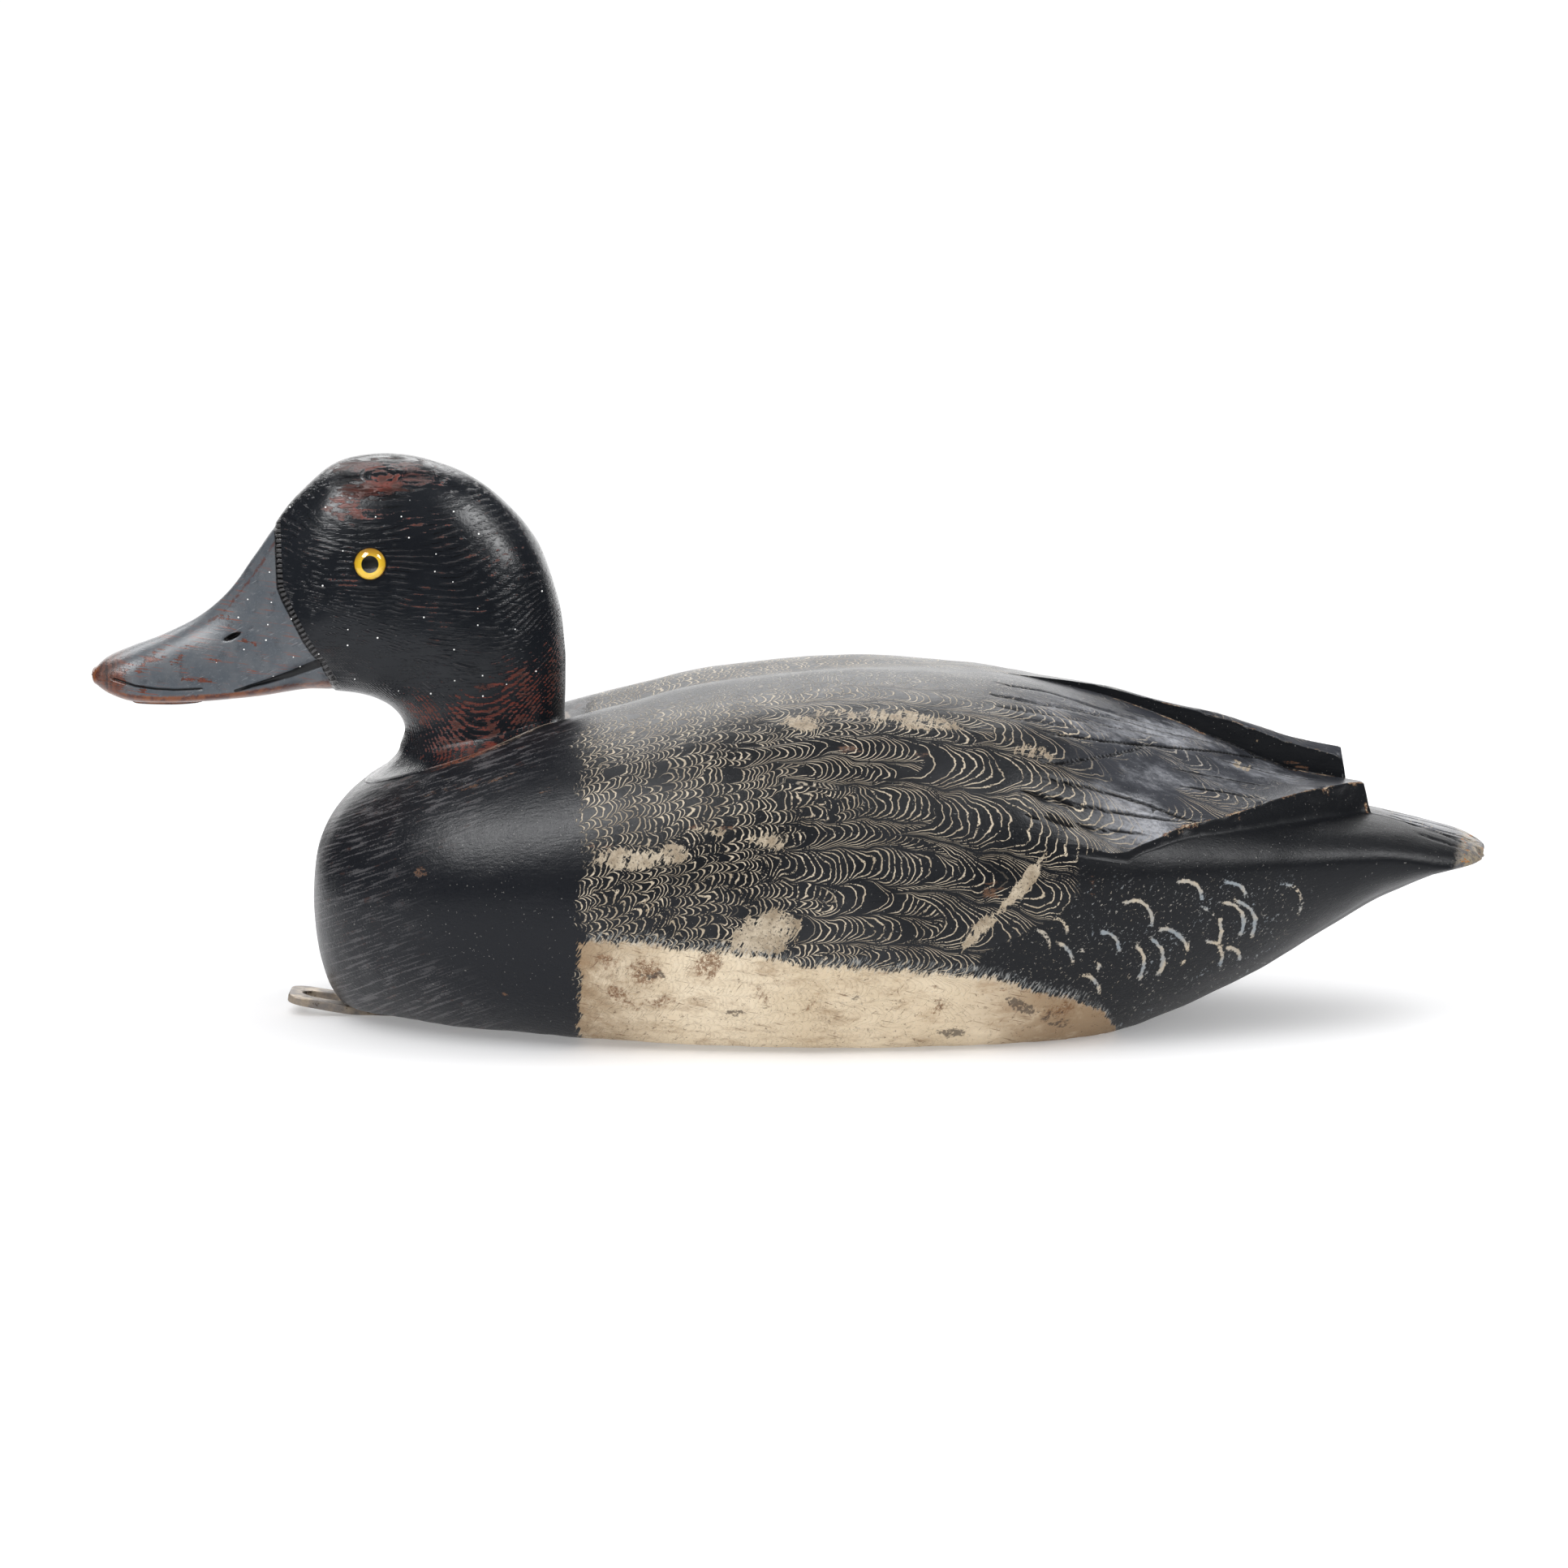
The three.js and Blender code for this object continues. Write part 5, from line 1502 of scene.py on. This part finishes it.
def head_places(f):
    """Places and noises that the head's coats share.

    The grain's ridges are steps of a level that rises upwards and outwards, so that they run along
    the cheeks, close to loops on the crown and hang in bows round the neck.
    """
    a, b = f.pair("Seen")
    x, y, z = f.split(f.place)
    n = SimpleNamespace(seen=(a, b), x=x, y=y, z=z)
    n.coarse = f.noise(7.0, 4.0, 0.6)
    n.fine = f.noise(0.9, 3.0, 0.6)
    n.grit = f.noise(0.7, 4.0, 0.75, offset=(3, 7, 7))
    n.ragged = f.noise(4.0, 4.0, 0.7, offset=(6, 1, 3))
    n.waver = f.noise(17.0, 1.0, 0.4, stretch=(1.6, 1, 1))
    n.lay = f.strokes(0.55, 16.0, -9.0, (a + n.waver.shake(3.0), b))
    out = (y * y + 9.0).math("SQRT")
    bow = (x + 80.0) * (x + 80.0) * z.fall(78.0, 120.0) * 0.034
    level = z * 0.86 + out * 0.42 - bow + n.waver.shake(9.0)
    knot_a, knot_b = a - KNOT_SEEN[0], b - KNOT_SEEN[1]
    knot = ((knot_a / 2.1) * (knot_a / 2.1) + knot_b * knot_b).math("SQRT")
    level = level + (knot * 1.3 - level) * knot.fall(2.5, 7.0) + n.fine.shake(0.45)
    n.ridge = ((level / GRAIN_PITCH).math("FRACT") - 0.5).size() * 2.0
    n.dashes = f.noise(1.5, 3.0, 0.6, stretch=(4.5, 1, 0.45), offset=(5, 0, 3))
    n.edge = f.value("bill")
    n.bill = (n.edge + n.fine.shake(0.35)).rise(-0.15, 0.25)
    return n


def bill_coats(f, n):
    """Rubbed and chipped places of the bill: streaks, scuffs, chips, the tip, the rim and the ridge."""
    wear = f.value("bill_wear")
    streaks = n.lay.rise(0.57, 0.63) * (wear + n.coarse.shake(1.6) + 0.25).rise(0.1, 0.5) * n.bill
    scuffs = f.strokes(0.5, 9.0, 24.0, n.seen, offset=(3, 3, 0)).rise(0.60, 0.66) * n.bill
    n.chipped = (wear + n.ragged.shake(2.4) + n.lay.shake(1.4)).rise(0.74, 0.84) * n.bill
    tip = (n.x + 174.0 + n.ragged.shake(8.0) + n.grit.shake(3.0)).fall(-4.0, 2.5)
    ahead, over = n.x + 184.0, n.z - 89.0
    ring = (ahead * ahead + over * over * 1.6 + n.y * n.y * 0.6).math("SQRT")
    rings = ((ring + n.ragged.shake(4.5) + n.fine.shake(1.2)) / 1.7).math("FRACT").rise(0.2, 0.7) * 0.6
    tip_share = n.grit.shake(1.4) + n.ragged.shake(1.2) + rings + 0.2
    rim = (f.value("bill_rim") + n.coarse.shake(1.6) + n.grit.shake(1.2)).fall(0.5, 1.3)
    rim = rim * n.edge.rise(-1.5, 0.5)
    ridge = (f.value("culmen") + n.ragged.shake(2.4) + n.fine.shake(1.4)).fall(0.0, 0.45) * n.bill
    return (
        (streaks * 0.75, (128, 72, 56)),
        (scuffs * n.ragged.rise(0.42, 0.6) * 0.5, (146, 150, 154)),
        (n.chipped * 0.85, f.mix(n.grit.rise(0.4, 0.6), (118, 58, 42), (84, 54, 44))),
        (tip * 0.8, f.mix(tip_share, (62, 48, 44), (118, 76, 60))),
        (rim * 0.9, f.mix(n.ragged.rise(0.42, 0.58), (128, 74, 42), (84, 44, 34))),
        (ridge * 0.7, (88, 50, 42)),
    )


def stitch_painted_shade_and_highlight(f, n):
    """The row of pressed ticks along the bill's edge painted dark as their shade, the band between them
    painted lighter as a highlight, and the step beside it painted dark as its shadow.
    """
    band = (n.edge + 0.95).size().fall(0.85, 1.1)
    run = f.value("bill_run") + f.noise(2.0, 2.0, 0.5, offset=(8, 8, 8)).shake(0.6)
    tick = ((run / STITCH_PITCH).math("FRACT") - 0.5).size().fall(0.16, 0.27)
    n.stitch = tick * band * (n.edge + 40.0).rise(0.0, 1.0)
    return (
        # Painted highlight on the band between the ticks, painted shade in the ticks, painted shadow along
        # the step.
        (band * n.stitch.rest() * 0.75, (80, 79, 80)),
        (n.stitch * 0.95, (4, 4, 5)),
        ((n.edge + 0.15).size().fall(0.15, 0.55) * 0.75, (14, 15, 18)),
    )


def white_specks(f, n):
    """Small round white specks: the middles of a share of the cells of a Voronoi pattern."""
    a, b = n.seen
    cells = f.add("ShaderNodeTexVoronoi", feature="F1", voronoi_dimensions="2D")
    f.plug(f.scaled(f.vector(a, b, 0.0), (0.14, 0.14, 0.14)), cells.inputs["Vector"])
    cells.inputs["Scale"].default_value = 1.0
    pick, wide, _ = f.split(cells.outputs["Color"])
    speck = (Wire(f, cells.outputs["Distance"]) / (wide * 0.013 + 0.021)).fall(0.8, 1.1)
    speck = speck * pick.rise(0.45, 0.47)
    return speck * (b - 81.0).rise(0.0, 2.0) * (b - 136.0).fall(-2.0, 2.0) * (a + 152.0).rise(-2.0, 2.0)


def head_finish(paint):
    """Old satin paint on the head: blue-black over wood grain, slate bill, rubbed to red-brown; painted shade
    in the bill's ticks, gape and nostrils, a painted shadow along the bill's step and a painted highlight
    between the ticks.
    """
    f = Finish("old_head_paint")
    n = head_places(f)
    face = n.bill.rest()
    shown = face * (n.dashes + n.coarse.shake(0.7)).rise(0.46, 0.66)
    slate = f.layers(
        paint.bill_slate,
        (n.coarse.rise(0.3, 0.75), (98, 101, 105)),
        (n.ragged.rise(0.52, 0.70) * 0.6, (60, 64, 70)),
        (n.grit.rise(0.56, 0.68) * 0.3, (126, 130, 134)),
    )
    wear = f.value("wear") + n.ridge.shake(0.5) + n.dashes.shake(1.8)
    wear = wear + n.ragged.shake(1.9) + n.grit.shake(0.9)
    worn = wear.rise(0.62, 0.86) * face
    behind = n.x - NECK_SEAM_X
    foot = (f.value("foot") + n.coarse.shake(2.0) + n.fine.shake(1.6)).fall(0.4, 1.3) * 0.8
    foot_colour = f.mix((n.x + 75.0 + n.coarse.shake(14.0)).rise(-8.0, 4.0), (112, 60, 40), (140, 126, 112))
    ridge_tint = f.mix(n.ragged.rise(0.52, 0.66), (76, 73, 74), (78, 50, 44))
    colour = f.layers(
        paint.head_black,
        (f.noise(22.0, 3.0, 0.5).rise(0.35, 0.7), (28, 31, 36)),
        (n.ridge.rise(0.74, 0.97) * shown * 0.5, ridge_tint),
        (n.ridge.fall(0.05, 0.3) * shown * 0.6, (10, 11, 13)),
        (n.bill, slate),
        (worn * 0.88, f.mix(n.ragged.rise(0.4, 0.65), (120, 50, 36), (80, 44, 36))),
        *bill_coats(f, n),
        *stitch_painted_shade_and_highlight(f, n),
        # Painted shade in the carved gape and mandible grooves, and in the nostril hollows.
        (f.value("gape").fall(0.15, 0.45) * 0.95, (10, 11, 13)),
        (f.value("nostril").fall(-0.1, 0.12), (5, 5, 6)),
        (f.value("eye").fall(-0.1, 0.25) * 0.8, (52, 40, 24)),
        (foot * behind.rise(-4.0, 5.0), foot_colour),
        (white_specks(f, n), (248, 248, 246)),
    )
    rough = n.coarse * 0.08 + n.grit * 0.14 + 0.13 + n.bill * 0.07 + worn * 0.12
    height = n.ridge * shown * 0.09 + n.grit * 0.035 + n.coarse * 0.09 + n.fine * 0.03 + n.lay * n.bill * 0.04
    height = height - n.stitch * 0.6 - worn * 0.05 - n.chipped * 0.06
    return f.finish(colour, rough, height, HEAD_GLOSS)


def glass_finish():
    """Clear polished glass."""
    f = Finish("clear_eye_glass")
    f.shader.inputs["Transmission Weight"].default_value = 1.0
    f.shader.inputs["IOR"].default_value = 1.5
    f.shader.inputs["Base Color"].default_value = (1.0, 1.0, 0.98, 1.0)
    f.shader.inputs["Roughness"].default_value = 0.02
    return f.material


def iris_finish(paint):
    """The painted back of the eye: a black pupil, a yellow iris, amber at its rim, and darker amber at its
    top as painted shade.
    """
    f = Finish("painted_iris")
    share = f.value("share")
    flecks = f.noise(0.5, 3.0, 0.6)
    # Painted shade: the iris is darker towards its top.
    above = (f.split(f.place)[2] - EYE_Z).rise(0.2, 3.6) * 0.8
    amber_rim_and_painted_top_shade = (share + flecks.shake(0.12)).rise(0.80, 1.0).most(above)
    colour = f.layers(
        paint.iris_yellow,
        (amber_rim_and_painted_top_shade, (176, 116, 24)),
        (share.rise(0.97, 0.99), (60, 44, 30)),
        (share.fall(paint.pupil_share - 0.015, paint.pupil_share + 0.015), (5, 5, 6)),
    )
    return f.finish(colour, 0.35, flecks * 0.02)


def tie_finish():
    """Old brass gone brown and grey in patches, with dark spots."""
    f = Finish("aged_tie_metal")
    coarse = f.noise(5.0, 4.0, 0.65)
    fine = f.noise(0.8, 4.0, 0.7)
    colour = f.layers(
        (166, 152, 134),
        (coarse.rise(0.35, 0.65), (122, 116, 112)),
        (f.noise(2.0, 4.0, 0.7, offset=(3, 1, 1)).rise(0.55, 0.7), (72, 56, 44)),
    )
    f.plug(coarse.rise(0.3, 0.7, 0.6, 0.3), f.shader.inputs["Metallic"])
    return f.finish(colour, coarse * 0.3 + 0.38, fine * 0.08 + coarse * 0.15)


def floor_finish():
    """Plain white paper."""
    f = Finish("white_floor")
    f.shader.inputs["Base Color"].default_value = (0.80, 0.80, 0.81, 1.0)
    f.shader.inputs["Emission Color"].default_value = (1.0, 1.0, 1.0, 1.0)
    f.shader.inputs["Emission Strength"].default_value = 0.26
    f.shader.inputs["Roughness"].default_value = 0.9
    f.shader.inputs["Specular IOR Level"].default_value = 0.1
    return f.material


def dress(piece, material, node=None):
    """Gives a piece its material and its body, and hides the part of the model that it stands for."""
    piece.data.materials.clear()
    piece.data.materials.append(material)
    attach(piece, "root")
    if node:
        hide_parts(node)


class DECOY_OT_body(bpy.types.Operator):
    """Makes the carved and painted body"""

    bl_idname = "decoy.make_body"
    bl_label = "Carved body"

    def execute(self, context):
        paint = context.scene.decoy_paint
        dress(build_body(paint), body_finish(paint), "body")
        return {"FINISHED"}


class DECOY_OT_head(bpy.types.Operator):
    """Makes the carved and painted head with its neck and bill"""

    bl_idname = "decoy.make_head"
    bl_label = "Carved head"

    def execute(self, context):
        paint = context.scene.decoy_paint
        dress(build_head(paint), head_finish(paint), "head")
        return {"FINISHED"}


class DECOY_OT_eyes(bpy.types.Operator):
    """Makes both glass eyes with the iris and pupil sealed in them"""

    bl_idname = "decoy.make_eyes"
    bl_label = "Glass eyes"

    def execute(self, context):
        clear, painted = glass_finish(), iris_finish(context.scene.decoy_paint)
        for name, side in (("left_eye", -1), ("right_eye", 1)):
            glass, iris = build_eye(name, side)
            dress(glass, clear, name)
            dress(iris, painted, None)
        return {"FINISHED"}


class DECOY_OT_tie(bpy.types.Operator):
    """Makes the slotted metal line tie"""

    bl_idname = "decoy.make_tie"
    bl_label = "Line tie"

    def execute(self, context):
        dress(build_tie(), tie_finish(), "line_tie")
        return {"FINISHED"}


def add_light(name, place, size, radiance, aim, shown, mirrored):
    """A rectangular soft light that faces a point; its power is four times radiance times area.

    A mirrored light makes the gloss and its highlights, and any other gives the even light.
    """
    light = bpy.data.lights.new(name, "AREA")
    light.shape = "RECTANGLE"
    light.size, light.size_y = size
    light.energy = radiance * size[0] * size[1] * 4
    thing = bpy.data.objects.new(name, light)
    thing.visible_camera = shown
    thing.visible_diffuse = not mirrored
    thing.visible_glossy = mirrored
    bpy.context.scene.collection.objects.link(thing)
    point_at(thing, place, aim)


def point_at(thing, place, aim):
    """Puts a thing at a place and turns its -Z axis to the aim."""
    thing.location = place
    thing.rotation_euler = (Vector(aim) - Vector(place)).to_track_quat("-Z", "Y").to_euler()


# Light from all round for matt surfaces, and what polished ones mirror
AMBIENT_LIGHT = 1.02
DARK_ROOM = 0.04


# The floor's rings in mm and the backdrop's brightness in the camera. The lights: name, place and
# size in metres, radiance, the point faced, whether the camera sees it and whether it is mirrored.
FLOOR_RINGS = (250.0, 450.0, 600.0)
FLOOR_SIDES = 64
BACKDROP_LIGHT = 1.05
LIGHTS = (
    ("left_softbox", (-0.80, -0.50, 1.25), (0.62, 0.70), 15.5, (0, 0, 0.06), True, True),
    ("right_softbox", (0.88, -0.42, 1.15), (0.50, 0.66), 14.0, (0, 0, 0.06), True, True),
    ("back_softbox", (-0.3, 1.2, 1.25), (1.5, 0.8), 4.9, (0, 0, 0.06), True, True),
    ("left_even_light", (-0.5, -0.9, 1.4), (1.2, 1.2), 1.1, (0, 0, 0.06), True, False),
    ("right_even_light", (0.95, 0.2, 1.2), (1.0, 1.0), 1.5, (0, 0, 0.06), True, False),
    ("white_backdrop", (0.1, 1.25, 0.32), (1.7, 0.62), 1.6, (0, 0, 0.32), False, True),
)


class DECOY_OT_stage(bpy.types.Operator):
    """Makes the white floor, the soft lights and the camera"""

    bl_idname = "decoy.make_stage"
    bl_label = "Floor, lights and camera"

    def execute(self, context):
        scene = context.scene
        mesh = put_floor("floor")
        mesh.data.materials.append(floor_finish())
        world = bpy.data.worlds.new("soft_studio")
        scene.world = world
        world.use_nodes = True
        nodes = world.node_tree.nodes
        links = world.node_tree.links
        path = nodes.new("ShaderNodeLightPath")
        strength = nodes.new("ShaderNodeMath")
        strength.operation = "MULTIPLY_ADD"
        links.new(path.outputs["Is Diffuse Ray"], strength.inputs[0])
        strength.inputs[1].default_value = AMBIENT_LIGHT - DARK_ROOM
        strength.inputs[2].default_value = DARK_ROOM
        background = nodes["Background"]
        bright = nodes.new("ShaderNodeBackground")
        for node in (background, bright):
            node.inputs["Color"].default_value = (1.0, 1.0, 1.0, 1.0)
        links.new(strength.outputs[0], background.inputs["Strength"])
        bright.inputs["Strength"].default_value = BACKDROP_LIGHT
        blend = nodes.new("ShaderNodeMixShader")
        links.new(path.outputs["Is Camera Ray"], blend.inputs[0])
        links.new(background.outputs[0], blend.inputs[1])
        links.new(bright.outputs[0], blend.inputs[2])
        links.new(blend.outputs[0], nodes["World Output"].inputs[0])
        for light in LIGHTS:
            add_light(*light)
        camera_data = bpy.data.cameras.new("side_camera")
        camera_data.sensor_width = SENSOR
        camera_data.lens = LENS
        camera_data.clip_end = 200.0
        camera = bpy.data.objects.new("side_camera", camera_data)
        scene.collection.objects.link(camera)
        target = (VIEW_X * MM, 0.0, VIEW_Z * MM)
        reach = VIEW_DISTANCE * MM
        place = (target[0], -reach * math.cos(VIEW_TILT), target[2] + reach * math.sin(VIEW_TILT))
        point_at(camera, place, target)
        scene.camera = camera
        scene.view_settings.view_transform = "Standard"
        scene.view_settings.look = "None"
        return {"FINISHED"}


def put_floor(name):
    """A flat disc of rings round the origin."""
    turn = np.linspace(0, 2 * np.pi, FLOOR_SIDES, endpoint=False)
    radius = np.array(FLOOR_RINGS)[:, None]
    rings = np.stack([radius * np.cos(turn), radius * np.sin(turn), 0 * (radius + turn)], axis=-1)
    rows, columns = rings.shape[:2]
    vertices = np.concatenate([rings.reshape(-1, 3), [[0, 0, 0]]]) * MM
    index = np.arange(rows * columns).reshape(rows, columns)
    index = np.concatenate([index, index[:, :1]], axis=1)
    quads = np.stack([index[:-1, :-1], index[1:, :-1], index[1:, 1:], index[:-1, 1:]], axis=-1).reshape(-1, 4)
    fan = np.stack([np.full(columns, rows * columns), index[0, :-1], index[0, 1:]], axis=-1)
    mesh = bpy.data.meshes.new(name)
    mesh.from_pydata(vertices.tolist(), [], quads.tolist() + fan.tolist())
    thing = bpy.data.objects.new(name, mesh)
    bpy.context.scene.collection.objects.link(thing)
    return thing


def paint_colour(label, use, red, green, blue):
    """A colour property whose default is given as 0 to 255 screen values."""
    return bpy.props.FloatVectorProperty(
        name=label, description=use, subtype="COLOR", size=3, min=0.0, max=1.0,
        default=linear(red, green, blue),
    )


def paint_size(label, use, millimetres):
    """A length property whose default is given in millimetres."""
    return bpy.props.FloatProperty(
        name=label, description=use, subtype="DISTANCE", unit="LENGTH", min=0.0, precision=5,
        default=millimetres * MM,
    )


class DecoyPaint(bpy.types.PropertyGroup):
    """Colours and sizes that a user would change."""

    comb_pitch: paint_size("Comb pitch", "Distance between two combed lines on the side", 1.85)
    cut_depth: paint_size("Feather cut depth", "Depth of the feather cuts on the wings", 0.9)
    unevenness: paint_size("Carving unevenness", "How far the carved surface wanders", 0.12)
    bill_step: paint_size("Bill step", "Depth of the step from the face down to the bill", 0.45)
    pupil_share: bpy.props.FloatProperty(
        name="Pupil size", description="The pupil's share of the eye", subtype="FACTOR",
        min=0.1, max=0.9, default=0.48,
    )
    head_black: paint_colour("Head black", "Blue-black paint of the head", 21, 24, 29)
    breast_black: paint_colour("Breast black", "Black paint of the breast", 25, 27, 32)
    comb_cream: paint_colour("Comb cream", "Paint that the combed lines are drawn in", 204, 190, 168)
    panel_cream: paint_colour("Panel cream", "Paint of the pale side panels", 226, 211, 186)
    wing_grey: paint_colour("Wing grey", "Worn paint of the folded wings", 56, 58, 64)
    bill_slate: paint_colour("Bill slate", "Slate paint of the bill", 80, 86, 93)
    iris_yellow: paint_colour("Iris yellow", "Colour of the eyes round the pupil", 250, 205, 45)


OPERATORS = (DECOY_OT_body, DECOY_OT_head, DECOY_OT_eyes, DECOY_OT_tie, DECOY_OT_stage)


class DECOY_PT_panel(bpy.types.Panel):
    """Lists the decoy's pieces"""

    bl_idname = "DECOY_PT_panel"
    bl_label = "Bluebill decoy"
    bl_space_type = "VIEW_3D"
    bl_region_type = "UI"
    bl_category = "Decoy"

    def draw(self, context):
        for operator in OPERATORS:
            self.layout.operator(operator.bl_idname)
        for key in DecoyPaint.__annotations__:
            self.layout.prop(context.scene.decoy_paint, key)


CLASSES = (DecoyPaint, *OPERATORS, DECOY_PT_panel)


def register():
    for each in CLASSES:
        bpy.utils.register_class(each)
    bpy.types.Scene.decoy_paint = bpy.props.PointerProperty(type=DecoyPaint)


def unregister():
    del bpy.types.Scene.decoy_paint
    for each in reversed(CLASSES):
        bpy.utils.unregister_class(each)


def main():
    register()
    bpy.ops.decoy.make_body()
    bpy.ops.decoy.make_head()
    bpy.ops.decoy.make_eyes()
    bpy.ops.decoy.make_tie()
    bpy.ops.decoy.make_stage()


if __name__ == "__main__":
    main()
